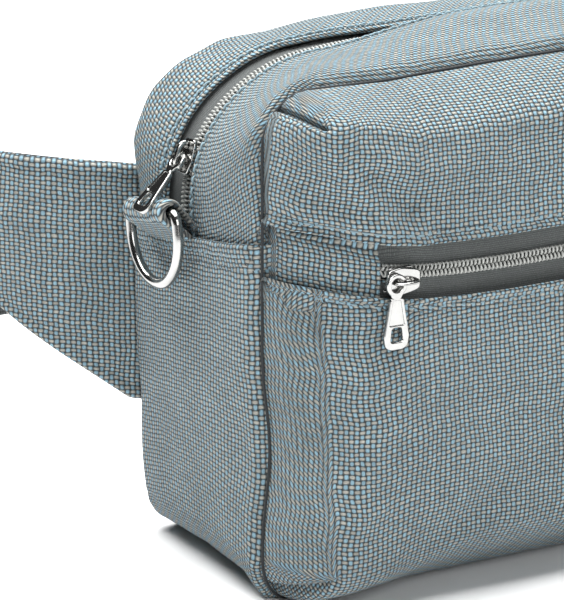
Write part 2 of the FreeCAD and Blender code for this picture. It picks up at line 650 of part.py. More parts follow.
def make_rings():
    """Bent wire rings: a straight bar, two short sides and a half circle."""
    half = size("ring_span") / 2
    corner = size("ring_corner")
    low = -(size("ring_drop") - half)
    body = new_body("d_ring_left")
    path = sketch_on(body, "ring_path", "YZ_Plane")
    vector = FreeCAD.Vector
    up = vector(0, 0, 1)
    path.addGeometry([
        Part.LineSegment(vector(-half + corner, 0, 0), vector(half - corner, 0, 0)),
        Part.ArcOfCircle(Part.Circle(vector(half - corner, -corner, 0), up, corner), 0, math.pi / 2),
        Part.LineSegment(vector(half, -corner, 0), vector(half, low, 0)),
        Part.ArcOfCircle(Part.Circle(vector(0, low, 0), up, half), math.pi, 2 * math.pi),
        Part.LineSegment(vector(-half, low, 0), vector(-half, -corner, 0)),
        Part.ArcOfCircle(Part.Circle(vector(-half + corner, -corner, 0), up, corner), math.pi / 2, math.pi),
    ])
    for first, first_end, second, second_end in (
        (0, 2, 1, 2), (1, 1, 2, 1), (2, 2, 3, 2), (3, 1, 4, 1), (4, 2, 5, 2), (5, 1, 0, 1),
    ):
        path.addConstraint(Sketcher.Constraint("Tangent", first, first_end, second, second_end))
    path.addConstraint(Sketcher.Constraint("Horizontal", 0))
    path.addConstraint(Sketcher.Constraint("Symmetric", 0, 1, 0, 2, -1, 1))
    path.addConstraint(Sketcher.Constraint("Equal", 1, 5))
    add_bound(path, Sketcher.Constraint("Radius", 1, corner), "ring_corner")
    add_bound(path, Sketcher.Constraint("Radius", 3, half), "ring_span / 2")
    add_bound(path, Sketcher.Constraint("DistanceY", 3, 3, -1, 1, -low), "ring_drop - ring_span / 2")
    wire = sketch_on(body, "ring_wire_section", "XZ_Plane")
    circle(wire, "0", "0", "ring_wire / 2")
    sweep = body.newObject("PartDesign::AdditivePipe", "ring_sweep")
    sweep.Profile = wire
    sweep.Spine = (path, [])
    body.Placement = ring_frame()
    keep(body, "d_ring_left")
    mirrored("d_ring_right", body)


def make_tabs():
    """Folded fabric loops over the rings' bars, sewn into the side seams."""
    outer = size("ring_wire") / 2 + size("tab_clear") + size("tab_cloth")
    inner = outer - size("tab_cloth")
    foot_x = size("ring_bar_x") - size("half_length") - size("tab_foot_in")
    foot_z = -(size("ring_bar_z") - size("side_seam_z")) - size("tab_foot_low")
    reach = math.hypot(foot_x, foot_z)
    slope = math.atan2(foot_z, foot_x)

    def drop(radius, half_foot, length):
        """Loop of a given radius round the bar with two legs that close on the foot."""
        opening = math.acos((radius - half_foot) / length)
        end = FreeCAD.Vector(0, -size("tab_width") / 2, 0)
        points = [end + FreeCAD.Vector(math.cos(slope + side * opening), 0, math.sin(slope + side * opening)) * radius
                  for side in (1, -1)]
        across = FreeCAD.Vector(-math.sin(slope), 0, math.cos(slope)) * half_foot
        foot = end + FreeCAD.Vector(math.cos(slope), 0, math.sin(slope)) * length
        back = end - FreeCAD.Vector(math.cos(slope), 0, math.sin(slope)) * radius
        edges = [Part.Arc(points[0], back, points[1]).toShape(),
                 Part.LineSegment(points[1], foot - across).toShape(),
                 Part.LineSegment(foot - across, foot + across).toShape(),
                 Part.LineSegment(foot + across, points[0]).toShape()]
        return Part.Face(Part.Wire(edges))

    hollow = drop(inner, size("tab_slit_half"), reach - size("tab_joined"))
    section = drop(outer, size("tab_foot_half"), reach).cut(hollow)
    tab = doc.addObject("Part::Feature", "ring_tab_left")
    tab.Shape = section.extrude(FreeCAD.Vector(0, size("tab_width"), 0))
    tab.Placement = ring_frame()
    keep(tab, "ring_tab_left")
    mirrored("ring_tab_right", tab)


# ---------------------------------------------------------------- belt

def wing_path():
    """Plan of the left wing: first point, headings, bend centre and last point."""
    start = FreeCAD.Vector(-size("half_length") - size("wing_start_out"), size("back_y") + size("wing_start_back"), 0)
    first = math.radians(size("wing_start_turn"))
    last = math.radians(size("wing_end_turn"))
    heading = FreeCAD.Vector(-math.cos(first), math.sin(first), 0)
    bend_start = start + heading * size("wing_first")
    inward = FreeCAD.Vector(math.sin(first), math.cos(first), 0)
    centre = bend_start + inward * size("wing_radius")
    bend_end = centre - FreeCAD.Vector(math.sin(last), math.cos(last), 0) * size("wing_radius")
    end = bend_end + FreeCAD.Vector(-math.cos(last), math.sin(last), 0) * size("wing_last")
    return start, bend_start, centre, bend_end, end, first, last


def wing_plan(outside, inside):
    """Face in plan between two offsets from the wing's path, outside positive away from the wearer."""
    start, bend_start, centre, bend_end, end, first, last = wing_path()
    middle = (first + last) / 2

    def edge_points(offset):
        radius = size("wing_radius") + offset
        side_first = FreeCAD.Vector(-math.sin(first), -math.cos(first), 0) * offset
        side_last = FreeCAD.Vector(-math.sin(last), -math.cos(last), 0) * offset
        on_arc = centre - FreeCAD.Vector(math.sin(middle), math.cos(middle), 0) * radius
        return start + side_first, bend_start + side_first, on_arc, bend_end + side_last, end + side_last

    a = edge_points(outside)
    b = edge_points(inside)
    edges = [Part.LineSegment(a[0], a[1]), Part.Arc(a[1], a[2], a[3]), Part.LineSegment(a[3], a[4]),
             Part.LineSegment(a[4], b[4]), Part.LineSegment(b[4], b[3]), Part.Arc(b[3], b[2], b[1]),
             Part.LineSegment(b[1], b[0]), Part.LineSegment(b[0], a[0])]
    return Part.Face(Part.Wire([edge.toShape() for edge in edges]))


def make_wings():
    """Padded wings that carry the belt: outer fabric with foam, and a mesh backing, tapering to the webbing."""
    start, end = wing_path()[0], wing_path()[4]
    low, high = size("wing_low"), size("wing_high")
    end_low = high - size("webbing_width") - 2 * size("wing_hem")
    margin = 30
    taper = Part.Face(Part.makePolygon([
        FreeCAD.Vector(start.x + margin, -margin, low - margin), FreeCAD.Vector(start.x + margin, -margin, low),
        FreeCAD.Vector(start.x - size("wing_flat"), -margin, low), FreeCAD.Vector(end.x, -margin, end_low),
        FreeCAD.Vector(end.x - margin, -margin, end_low), FreeCAD.Vector(end.x - margin, -margin, low - margin),
        FreeCAD.Vector(start.x + margin, -margin, low - margin),
    ])).extrude(FreeCAD.Vector(0, end.y + 3 * margin, 0))
    total = size("wing_cloth") + size("wing_mesh")
    layers = (("wing", total / 2, total / 2 - size("wing_cloth")),
              ("wing_mesh", total / 2 - size("wing_cloth"), -total / 2))
    for name, outside, inside in layers:
        face = wing_plan(outside, inside)
        face.translate(FreeCAD.Vector(0, 0, low))
        wing = doc.addObject("Part::Feature", name + "_left")
        wing.Shape = face.extrude(FreeCAD.Vector(0, 0, high - low)).cut(taper)
        keep(wing, name + "_left")
        mirrored(name + "_right", wing)


def smooth(share):
    share = min(max(share, 0.0), 1.0)
    return share * share * (3 - 2 * share)


def make_webbing():
    """Belt webbing on edge: it leaves the wing, bends round behind the bag and sinks to the floor."""
    end = wing_path()[4]
    turn = math.pi - math.radians(size("wing_end_turn"))
    straight_end = -size("belt_straight")
    radius = (straight_end - end.x) / math.sin(turn)
    high_z = size("wing_high") - size("wing_hem") - size("webbing_width")
    low_z = size("webbing_floor")
    steps = 16

    def section(heading, x, y, bottom):
        side = FreeCAD.Vector(-math.sin(heading), math.cos(heading), 0) * (size("webbing_thick") / 2)
        foot = FreeCAD.Vector(x, y, bottom)
        rise = FreeCAD.Vector(0, 0, size("webbing_width"))
        return Part.makePolygon([foot - side, foot + side, foot + side + rise, foot - side + rise, foot - side])

    sections = []
    for step in range(steps + 1):
        heading = turn * (1 - step / steps)
        x = end.x + radius * (math.sin(turn) - math.sin(heading))
        y = end.y + radius * (math.cos(heading) - math.cos(turn))
        sink = smooth(size("webbing_sink_rate") * step / steps)
        sections.append(section(heading, x, y, high_z + (low_z - high_z) * sink))
    last_y = end.y + radius * (1 - math.cos(turn))
    sections.append(section(0, -size("buckle_half"), last_y, low_z))
    webbing = doc.addObject("Part::Feature", "webbing_left")
    webbing.Shape = Part.makeLoft(sections, True, True)
    keep(webbing, "webbing_left")
    mirrored("webbing_right", webbing)
    return last_y


def make_buckle(belt_y):
    """Side-release buckle: a socket on the left webbing, prongs with the adjusting bar on the right one."""
    y_from = "-(buckle_thick / 2)"
    top = "buckle_low + buckle_width"

    socket = new_body("buckle_socket")
    case = sketch_on(socket, "socket_case", "XZ_Plane", y_from)
    rounded_loop(case, "-buckle_half", "buckle_split", "buckle_low", top, "buckle_corner", "buckle_corner")
    pad(socket, case, "buckle_thick", "case")
    mouth = sketch_on(socket, "socket_mouth", "YZ_Plane", "buckle_split")
    rectangle(mouth, "-(buckle_thick / 2 - buckle_wall)", "buckle_thick / 2 - buckle_wall",
              "buckle_low + buckle_wall + mouth_inset", top + " - buckle_wall - mouth_inset")
    cavity = socket.newObject("PartDesign::Pocket", "cavity")
    cavity.Profile = mouth
    cavity.Length = size("socket_depth")
    bind(cavity, "Length", "socket_depth")
    side_windows = sketch_on(socket, "socket_windows", "XZ_Plane")
    rectangle(side_windows, "-window_far", "-window_near", "buckle_low - joined", "buckle_low + window_deep")
    rectangle(side_windows, "-window_far", "-window_near", top + " - window_deep", top + " + joined")
    pocket_through(socket, side_windows, "windows")
    slot = sketch_on(socket, "socket_slot", "XZ_Plane")
    rectangle(slot, "-buckle_half + slot_edge", "-buckle_half + slot_edge + slot_wide",
              "buckle_low + slot_inset", top + " - slot_inset")
    pocket_through(socket, slot, "webbing_slot")
    socket.Placement.Base = FreeCAD.Vector(0, belt_y, 0)
    keep(socket, "buckle_socket")

    prongs = new_body("buckle_prongs")
    frame = sketch_on(prongs, "prong_frame", "XZ_Plane", "-(buckle_thick / 2 - frame_inset)")
    rounded_loop(frame, "buckle_split + split_air", "buckle_half", "buckle_low", top, "buckle_corner", "buckle_corner")
    pad(prongs, frame, "buckle_thick - 2 * frame_inset", "frame")
    slots = sketch_on(prongs, "prong_slots", "XZ_Plane")
    for far in ("adjust_slot_far", "slot_edge"):
        rectangle(slots, "buckle_half - %s - slot_wide" % far, "buckle_half - %s" % far,
                  "buckle_low + slot_inset", top + " - slot_inset")
    pocket_through(prongs, slots, "webbing_slots")
    arms = sketch_on(prongs, "prong_arms", "XZ_Plane", "-arm_half_thick")
    arm_low = "buckle_low + buckle_wall + arm_air"
    arm_high = top + " - buckle_wall - arm_air"
    root = "buckle_split + split_air + 2 * joined"
    rectangle(arms, "-arm_reach", root, arm_low, arm_low + " + arm_wide")
    rectangle(arms, "-arm_reach", root, arm_high + " - arm_wide", arm_high)
    rectangle(arms, "-arm_tongue_reach", root, "buckle_low + buckle_width / 2 - tongue_half",
              "buckle_low + buckle_width / 2 + tongue_half")
    pad(prongs, arms, "2 * arm_half_thick", "arms")
    prongs.Placement.Base = FreeCAD.Vector(0, belt_y, 0)
    keep(prongs, "buckle_prongs")


def make_keeper(belt_y):
    """Loop beside the buckle that holds the webbing's loose end."""
    keeper = new_body("strap_keeper")
    outside = sketch_on(keeper, "keeper_outside", "YZ_Plane", "buckle_half + keeper_away")
    low = "webbing_floor - keeper_air"
    high = "webbing_floor + webbing_width + keeper_air"
    depth = "keeper_hollow_half + keeper_side"
    rectangle(outside, "-(%s)" % depth, depth, low + " - keeper_thick", high + " + keeper_thick")
    pad(keeper, outside, "keeper_long", "loop")
    hollow = sketch_on(keeper, "keeper_inside", "YZ_Plane")
    rectangle(hollow, "-keeper_hollow_half", "keeper_hollow_half", low, high)
    pocket_through(keeper, hollow, "hollow")
    keeper.Placement.Base = FreeCAD.Vector(0, belt_y, 0)
    keep(keeper, "strap_keeper")


def check_and_write():
    doc.recompute()
    for item in doc.Objects:
        bad = [state for state in item.State if state in ("Invalid", "Error")]
        if bad:
            raise RuntimeError("%s is %s" % (item.Name, bad))
    os.makedirs("parts", exist_ok=True)
    for node in nodes:
        shape = node.Shape
        if shape.isNull() or not shape.isValid() or not shape.Solids:
            raise RuntimeError("%s has no valid solid" % node.Label)
        shape.exportStep("parts/%s.step" % node.Label)
        box = shape.BoundBox
        print("%-22s %9.1f mm3  x %7.1f %7.1f  y %7.1f %7.1f  z %7.1f %7.1f  solids %d" % (
            node.Label, shape.Volume, box.XMin, box.XMax, box.YMin, box.YMax, box.ZMin, box.ZMax,
            len(shape.Solids)))


make_gusset()
make_main_zip()
make_panels()
make_bindings()
make_lining()
make_pocket()
make_pocket_zip()
make_main_slider()
make_pocket_slider()
make_rings()
make_tabs()
make_wings()
loop_back_y = make_webbing()
make_buckle(loop_back_y)
make_keeper(loop_back_y)
check_and_write()
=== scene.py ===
"""Looks of a zipped waist bag: woven panels, zips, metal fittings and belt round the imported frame."""
import json
import math

import bpy
import numpy as np
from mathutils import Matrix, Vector


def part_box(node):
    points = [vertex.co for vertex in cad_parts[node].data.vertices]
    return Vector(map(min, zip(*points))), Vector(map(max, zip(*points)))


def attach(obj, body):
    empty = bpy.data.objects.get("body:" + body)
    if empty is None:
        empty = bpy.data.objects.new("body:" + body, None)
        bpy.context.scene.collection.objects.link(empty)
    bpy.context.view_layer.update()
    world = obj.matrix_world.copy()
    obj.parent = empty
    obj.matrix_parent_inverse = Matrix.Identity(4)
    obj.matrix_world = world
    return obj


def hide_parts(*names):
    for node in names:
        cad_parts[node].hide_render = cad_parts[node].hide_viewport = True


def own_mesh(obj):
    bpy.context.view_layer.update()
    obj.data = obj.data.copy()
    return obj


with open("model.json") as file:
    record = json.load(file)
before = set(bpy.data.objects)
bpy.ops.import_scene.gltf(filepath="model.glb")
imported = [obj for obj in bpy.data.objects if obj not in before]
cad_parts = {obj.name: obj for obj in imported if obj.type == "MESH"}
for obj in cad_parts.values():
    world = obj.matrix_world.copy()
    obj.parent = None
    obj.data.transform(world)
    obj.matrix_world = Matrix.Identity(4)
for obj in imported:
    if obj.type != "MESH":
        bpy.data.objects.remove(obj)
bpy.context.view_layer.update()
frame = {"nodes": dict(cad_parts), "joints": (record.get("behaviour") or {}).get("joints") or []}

MM = 0.001


# ---------------------------------------------------------------- sizes, all in millimetres

def corners(node):
    """Lowest and highest corner of a CAD node in millimetres."""
    low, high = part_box(node)
    return np.array(low) / MM, np.array(high) / MM


HALF, SEAM, _ = corners("gusset_lower")[1]              # half length of the bag, and y of its back seam
HEIGHT = corners("gusset_front_strip")[1][2]
BAND_HIGH = corners("front_panel_upper")[0][2]
BAND_LOW, POCKET_FRONT = corners("front_panel_lower")[1][2], corners("front_panel_lower")[0][1]
DEPTH = -SEAM - POCKET_FRONT                            # how far the front pocket stands out
WINDOW = -corners("pocket_zip_end_left")[1][0]          # half length of the pocket zip's window
TAPE_FRONT, TAPE_BACK = corners("main_zip_tape_front"), corners("main_zip_tape_back")
ZIP_Y = (TAPE_FRONT[1][1] + TAPE_BACK[0][1]) / 2
ZIP_FOOT = TAPE_FRONT[0][2]
WALL = HEIGHT - TAPE_FRONT[1][2]                        # outer face of the cloth to the tape behind it
COIL_RISE = corners("main_zip_coil_front")[1][2] - TAPE_FRONT[1][2]
WING_LOW, WING_HIGH = corners("wing_left")
BELT_LOW = corners("webbing_left")[0]
BUCKLE_LOW = corners("buckle_socket")[0]

SEAM_ROLL = 3.6             # radius with which the gusset turns into a seam
SEAM_FALL = 0.5             # how far the gusset falls towards a seam before it turns in
PANEL_INSET = 2.7           # outline of a seam inside the gusset's skin
SHOULDER = 40.0             # top corner radius at the zip, as the slider runs
SLIDER_TURN, PULL_LEAN = math.radians(19.5), math.radians(44.0)
PULL_LENGTH = 20.0
BRIDGE_HALF = 3.5           # half length of a slider's bridge
TOP_PLATE_DEPTH = 0.45      # foot of a slider's top plate below the outer cloth
WARP_STEP, WEFT_STEP = 1.45, 1.21   # spacing of the threads in the outer fabric
CLOTH = 0.9                 # thickness of the outer fabric
START_STEP = 5.6            # steep start of the pocket beside its seam
EDGE_STITCH = 2.6           # a row of stitches inside a folded edge
BAND_DEEP = 1.7             # depth of the band beside the pocket zip below the panels' face
COIL_OFFSET = 0.92          # middle of a coil from the middle of its zip
WING_START, WING_END = math.radians(20), math.radians(62)   # headings of a wing at its root and its end
WING_BEND = 36.0            # radius of a wing's bend between them
WING_END_HIGH = 32.0        # height of a wing's end
WEBBING_WIDE = 30.0
WEBBING_HALF = 0.8          # half thickness of the webbing
BELT_STRAIGHT_X = -62.0     # where the left webbing runs into its straight stretch to the buckle
RING_WIRE = 1.45            # radius of a ring's wire
TAB_WIDE, TAB_TILT = 22.0, math.radians(10)


def smooth(value):
    value = np.clip(value, 0.0, 1.0)
    return value * value * (3 - 2 * value)


def soft_min(value, limit, rounding):
    """Smaller of two values with the corner between them rounded."""
    near = np.clip(0.5 + 0.5 * (limit - value) / rounding, 0.0, 1.0)
    return limit * (1 - near) + value * near - rounding * near * (1 - near)


def spaced(*stretches):
    """Values along stretches given as (from, to, step), without repeated ends."""
    values = [stretches[0][0]]
    for start, end, step in stretches:
        count = max(1, round(abs(end - start) / step))
        values += list(np.linspace(start, end, count + 1)[1:])
    return np.array(values)


def paired(first, second):
    """Two values side by side as flat places, spread to a common grid."""
    return np.stack(np.broadcast_arrays(first, second), axis=-1)


def unit(rows):
    return rows / np.linalg.norm(rows, axis=1, keepdims=True)


def run_along(path):
    """Length along a path at each of its points."""
    return np.concatenate([[0], np.cumsum(np.linalg.norm(np.diff(path, axis=0), axis=1))])


def resampled(at, run, rows):
    """Rows of three numbers, known along run, read off at other places."""
    return np.stack([np.interp(at, run, rows[:, k]) for k in range(3)], axis=-1)


# ---------------------------------------------------------------- the bag's skin

def top_radius(y):
    """Top corner radius of the outline, tighter at both seams than at the zip."""
    share = y / SEAM
    return 17.5 + 5.0 * (share + 1) + 17.3 * (1 - share ** 2)


def base_radius(y):
    return 12.0 + 5.0 * (1 - (y / SEAM) ** 2)


def side_seam(y):
    """Height of the seam where the lower gusset laps over the zip strips."""
    share = (y + SEAM) / (2 * SEAM)
    return 98.5 - 12.5 * share + 3.5 * share ** 2


def rim(station, y):
    """Outline at depth y and its outward normal.

    Station 0 is the middle of the bottom, 1 to 2 the base corner, 2 to 3 the side, 3 to 4 the shoulder
    and 5 the middle of the top. Negative stations are the left half."""
    side, at = np.sign(station), np.abs(station)
    top, base = top_radius(y), base_radius(y)
    stretch = [at < 1, at < 2, at < 3, at < 4]
    quarters = np.select(stretch, [0 * at, at - 1, 0 * at + 1, at - 2], 0 * at + 2)
    turn = quarters * math.pi / 2
    nx, nz = np.sin(turn), -np.cos(turn)
    x = np.select(stretch,
                  [(HALF - base) * at, HALF - base + base * nx, HALF + 0 * at, HALF - top + top * nx],
                  (HALF - top) * (5 - at))
    straight = HEIGHT - top - base
    z = np.select(stretch, [0 * at, base + base * nz, base + straight * (at - 2), HEIGHT - top + top * nz],
                  HEIGHT + 0 * at)
    return x * side, z, nx * side, nz


def side_station(z, y):
    """Station of a height on the straight side."""
    return 2 + (z - base_radius(y)) / (HEIGHT - top_radius(y) - base_radius(y))


def warp(x, y, z):
    """The bag's slack.

    The sides bulge and sway, the rear is pinched low down, the top is crowned, the bottom sinks in front,
    and the pocket's ends are pulled up, so that its band droops in the middle."""
    inside = np.clip(1 - (y / SEAM) ** 2, 0, 1)
    low = np.clip(z / 100.0, 0, 1)
    bulge = 1.6 * np.sin(math.pi * low) * np.sqrt(inside) * smooth((np.abs(x) - 70) / 40)
    rear = np.clip((y + SEAM) / (2 * SEAM), 0, 1)
    pinch = 2.7 * rear * np.clip(1 - z / 70.0, 0, 1) * np.abs(x) / HALF
    middle = np.clip(1 - (x / (HALF - SHOULDER)) ** 2, 0, 1)
    crown = 2.6 * middle * smooth((z - 60) / 80)
    rear_corner = 3.0 * rear * smooth((np.abs(x) - 60) / 50) * smooth((z - 110) / 30)
    lowered = np.minimum(3.4 * smooth(1 - z / 17) * smooth(-(y + 22) / 10), np.maximum(z - 0.2, 0))
    sway = 2.3 * smooth(1 - np.abs(z - 42) / 26) * np.exp(-((y + SEAM) / 13) ** 2)
    pulled_up = np.clip((np.abs(x) - 52) / 66, 0, 1) ** 2
    droop = 6.4 * pulled_up * (y <= -SEAM) * smooth(1.15 - np.abs(z - 91) / 48)
    return np.stack([x + np.sign(x) * (bulge - pinch - sway), y + 0 * x,
                     z + crown - rear_corner - lowered + droop], axis=-1)


def creases(a, b, scale):
    """Soft irregular undulation from -1 to 1 over a sheet, with a given wavelength."""
    return (np.sin(a / scale + 1.9 * np.sin(b / scale / 1.7 + 0.4)) * np.cos(b / scale * 0.9 + 0.8)
            + 0.5 * np.sin((a * 0.8 + b * 1.3) / scale * 1.9 + 2.1)) / 1.5


def gusset(station, y, lift):
    """Point of the gusset's skin, raised by lift along its normal."""
    x, z, nx, nz = rim(station, y)
    along = station * 60
    from_seam = SEAM - np.abs(y)
    roll = np.where(from_seam < SEAM_ROLL,
                    np.sqrt(np.clip(SEAM_ROLL ** 2 - (SEAM_ROLL - from_seam) ** 2, 0, None)) - SEAM_ROLL, 0)
    fall = -SEAM_FALL * np.clip(1 - from_seam / 15.0, 0, 1) ** 2 - 3.2 * np.exp(-from_seam / 0.7)
    pucker = 0.75 * creases(along, y, 4.5) * np.exp(-from_seam / 5.5) * smooth(from_seam / 1.5)
    slack = 0.8 * creases(along, y, 17.0) * smooth(from_seam / 8) * (1 - np.exp(-((y - ZIP_Y) / 8.0) ** 2))
    rise = lift + roll + fall + pucker + slack
    return warp(x + nx * rise, y, z + nz * rise)


def seam_columns(step, low=-SEAM, high=SEAM):
    """Depths across the gusset, dense where it rolls into a seam."""
    turn = np.linspace(0, math.pi / 2, 7)
    roll = SEAM_ROLL * (1 - np.cos(turn))
    front = list(low + roll) if low <= -SEAM else [low]
    back = list(high - roll[::-1]) if high >= SEAM else [high]
    count = max(2, round((back[0] - front[-1]) / step))
    return np.array(front + list(np.linspace(front[-1], back[0], count + 1)[1:-1]) + back)


# ---------------------------------------------------------------- the front pocket's skin

def flank(z, inset=PANEL_INSET, y=-SEAM):
    """Half length at height z inside the seam outline at depth y."""
    top, base = top_radius(y) - inset, base_radius(y) - inset
    half, low, high = HALF - inset, inset, HEIGHT - inset
    above = np.clip(z - (high - top), 0, top)
    below = np.clip(low + base - z, 0, base)
    return half - (top - np.sqrt(top ** 2 - above ** 2)) - (base - np.sqrt(base ** 2 - below ** 2))


def from_edge(x, z, inset=PANEL_INSET, y=-SEAM):
    """Distance inside the seam outline at depth y."""
    radius = np.where(z > HEIGHT / 2, top_radius(y), base_radius(y)) - inset
    qx = np.abs(x) - (HALF - inset - radius)
    qz = np.where(z > HEIGHT / 2, z - (HEIGHT - inset - radius), radius + inset - z)
    outside = np.hypot(np.maximum(qx, 0), np.maximum(qz, 0))
    return np.maximum(radius - outside - np.minimum(np.maximum(qx, qz), 0), 0)


def groove(x, z, start, end, depth, width):
    """Stitched dart: a narrow valley along a line, fading out past its end."""
    line = np.array(end) - np.array(start)
    length = np.hypot(*line)
    ahead = ((x - start[0]) * line[0] + (z - start[1]) * line[1]) / length
    aside = np.abs((x - start[0]) * line[1] - (z - start[1]) * line[0]) / length
    past = np.maximum(np.maximum(ahead - length, -ahead), 0)
    return depth * np.exp(-(aside / width) ** 2 - (past / width) ** 2)


# darts at the pocket's corners: from the seam towards the middle, depth and half width
DARTS = (((117.0, 136.0), (110.0, 130.2), 2.6, 0.85), ((114.6, 6.0), (108.0, 11.6), 2.6, 1.3))
# soft folds in the pocket's cloth: from, to, depth (negative is a valley) and half width
FOLDS = (((110.0, 126.0), (86.0, 108.0), -1.5, 3.4), ((104.0, 124.0), (78.0, 116.0), 1.2, 4.2),
         ((116.0, 104.0), (84.0, 99.6), 1.5, 3.0), ((116.0, 99.0), (92.0, 96.2), -1.2, 2.2),
         ((117.0, 80.0), (92.0, 71.0), -1.7, 3.6), ((117.0, 73.5), (98.0, 62.0), 1.2, 3.2),
         ((114.0, 40.0), (96.0, 58.0), -1.1, 4.5), ((116.0, 24.0), (97.0, 30.0), 1.2, 4.0),
         ((74.0, 52.0), (30.0, 44.0), -0.9, 7.0), ((60.0, 28.0), (84.0, 14.0), -1.2, 5.0),
         ((50.0, 122.0), (18.0, 112.0), -0.9, 6.0))


def stand_out(x, z):
    """How far the pocket stands out of the seam plane."""
    a, b = np.maximum(HALF - np.abs(x), 0.1), np.maximum(np.where(z > HEIGHT / 2, HEIGHT - z, z), 0.1)
    sideways = b ** 2 / (a ** 2 + b ** 2)
    side_run = 24.0 - 19.0 * smooth((z - 98) / 36) - 9.0 * smooth((88 - z) / 60) - 5.0 * smooth((20 - z) / 20)
    low_run = 12.0 - 7.0 * smooth((np.abs(x) - 62) / 46)
    high_run = 9.0 - 4.0 * smooth((np.abs(x) - 80) / 26)
    end_run = np.where(z > HEIGHT / 2, high_run, low_run)
    run = side_run * sideways + end_run * (1 - sideways)
    depth = (DEPTH - START_STEP - 2.0 * smooth((z - 108) / 24) - 2.0 * smooth(1 - z / 24)
             - 1.7 * smooth(1 - np.abs(z - 107) / 17)
             + 2.6 * smooth(1 - np.abs(z - 46) / 38) * smooth((HALF - np.abs(x)) / 50))
    inside = from_edge(x, z)
    out = depth * soft_min(inside / run, 1.0, 0.42) + START_STEP * (1 - np.exp(-inside / 1.5))
    pucker = 0.6 * creases(np.abs(x) + z, x - z, 4.6) * np.exp(-inside / 6) * smooth(inside / 1.5)
    slack = 0.9 * creases(x, z, 21.0) * smooth((inside - 4) / 14) * smooth(np.abs(z - 93.5) / 30 - 0.25)
    for start, end, high, wide in FOLDS:
        slack = slack + groove(np.abs(x), z, start, end, high, wide) * smooth((inside - 1) / 5)
    return np.maximum(out + pucker + slack, 0) - 5.4 * np.exp(-inside / 0.85)


def pocket(x, z, lift):
    """Point of the front pocket's skin, raised by lift along its normal."""
    small = 0.05
    slope_x = (stand_out(x + small, z) - stand_out(x - small, z)) / (2 * small)
    slope_z = (stand_out(x, z + small) - stand_out(x, z - small)) / (2 * small)
    norm = np.sqrt(slope_x ** 2 + slope_z ** 2 + 1)
    y = -SEAM - stand_out(x, z)
    for start, end, deep, wide in DARTS:
        lift = lift - groove(np.abs(x), z, start, end, deep, wide)
    return warp(x - lift * slope_x / norm, y - lift / norm, z - lift * slope_z / norm)


# ---------------------------------------------------------------- meshes

class Shape:
    """Collects grids and tubes of points in millimetres and turns them into one mesh."""

    def __init__(self):
        self.points, self.faces, self.flat, self.count = [], [], [], 0

    def grid(self, points, flat=None, wrap=False, flip=False):
        """Quads through points[row, column]; flat holds each point's place on the uncut cloth."""
        rows, columns = points.shape[:2]
        index = np.arange(rows * columns).reshape(rows, columns) + self.count
        if wrap:
            index = np.hstack([index, index[:, :1]])
        around = [index[:-1, :-1], index[:-1, 1:], index[1:, 1:], index[1:, :-1]]
        quads = np.stack(around, axis=-1).reshape(-1, 4)
        self.faces += (quads[:, ::-1] if flip else quads).tolist()
        self.points.append(points.reshape(-1, 3))
        self.flat.append(np.zeros((rows * columns, 2)) if flat is None else flat.reshape(-1, 2))
        self.count += rows * columns

    def loft(self, rings, flip=False):
        """Closed body through rings of points, with both ends filled."""
        first, sides = self.count, rings.shape[1]
        self.grid(rings, wrap=True, flip=flip)
        start = list(range(first, first + sides))
        end = list(range(self.count - sides, self.count))
        self.faces += [start if flip else start[::-1], end[::-1] if flip else end]

    def tube(self, path, radius, sides=8, flatten=1.0, up=None):
        """Round or oval bar along a path. The oval's long axis lies across up."""
        path = np.asarray(path, float)
        ahead = unit(np.gradient(path, axis=0))
        guide = np.array([0.3, 0.2, 1.0]) if up is None else np.asarray(up, float)
        across = unit(np.cross(ahead, np.broadcast_to(guide, ahead.shape)))
        normal = np.cross(across, ahead)
        radius = np.broadcast_to(np.asarray(radius, float), (len(path),))
        angle = np.linspace(0, 2 * math.pi, sides, endpoint=False)
        ring = (np.cos(angle)[None, :, None] * across[:, None, :]
                + flatten * np.sin(angle)[None, :, None] * normal[:, None, :])
        self.loft(path[:, None, :] + ring * radius[:, None, None], flip=True)

    def mesh(self, name):
        mesh = bpy.data.meshes.new(name)
        points = np.concatenate(self.points)
        mesh.from_pydata((points * MM).tolist(), [], self.faces)
        flat = np.concatenate(self.flat)
        layer = mesh.uv_layers.new(name="cloth")
        loops = np.empty(len(mesh.loops), dtype=np.int32)
        mesh.loops.foreach_get("vertex_index", loops)
        layer.data.foreach_set("uv", flat[loops].astype(np.float32).ravel())
        mesh.polygons.foreach_set("use_smooth", [True] * len(mesh.polygons))
        mesh.update()
        return mesh


def measured(points):
    """Length along each column of a grid, from its first row."""
    steps = np.linalg.norm(np.diff(points, axis=0), axis=-1)
    return np.vstack([np.zeros((1, points.shape[1])), np.cumsum(steps, axis=0)])


def laid_flat(points, run):
    """Flat places of a gusset strip: arc length across it from its middle, and the run along it."""
    across = measured(np.swapaxes(points, 0, 1)).T
    middle = across.shape[1] // 2
    return paired(across - across[:, middle:middle + 1], run)


def piece_of(name, shape, finish, body, *stands_for):
    """Puts a shape in the scene as a piece of a body, with the finish of one of the record's slots."""
    mesh = shape.mesh(name) if isinstance(shape, Shape) else shape
    mesh.materials.append(FINISHES[finish])
    piece = bpy.data.objects.new(name, mesh)
    bpy.context.collection.objects.link(piece)
    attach(piece, body)
    if stands_for:
        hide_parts(*stands_for)
    return piece


def thicken(piece, thickness, side=-1.0):
    """Gives a sheet its thickness; side -1 grows inwards from the outer face."""
    modifier = piece.modifiers.new("thickness", "SOLIDIFY")
    modifier.thickness, modifier.offset = thickness * MM, side
    modifier.use_even_offset = False
    return piece


# ---------------------------------------------------------------- materials

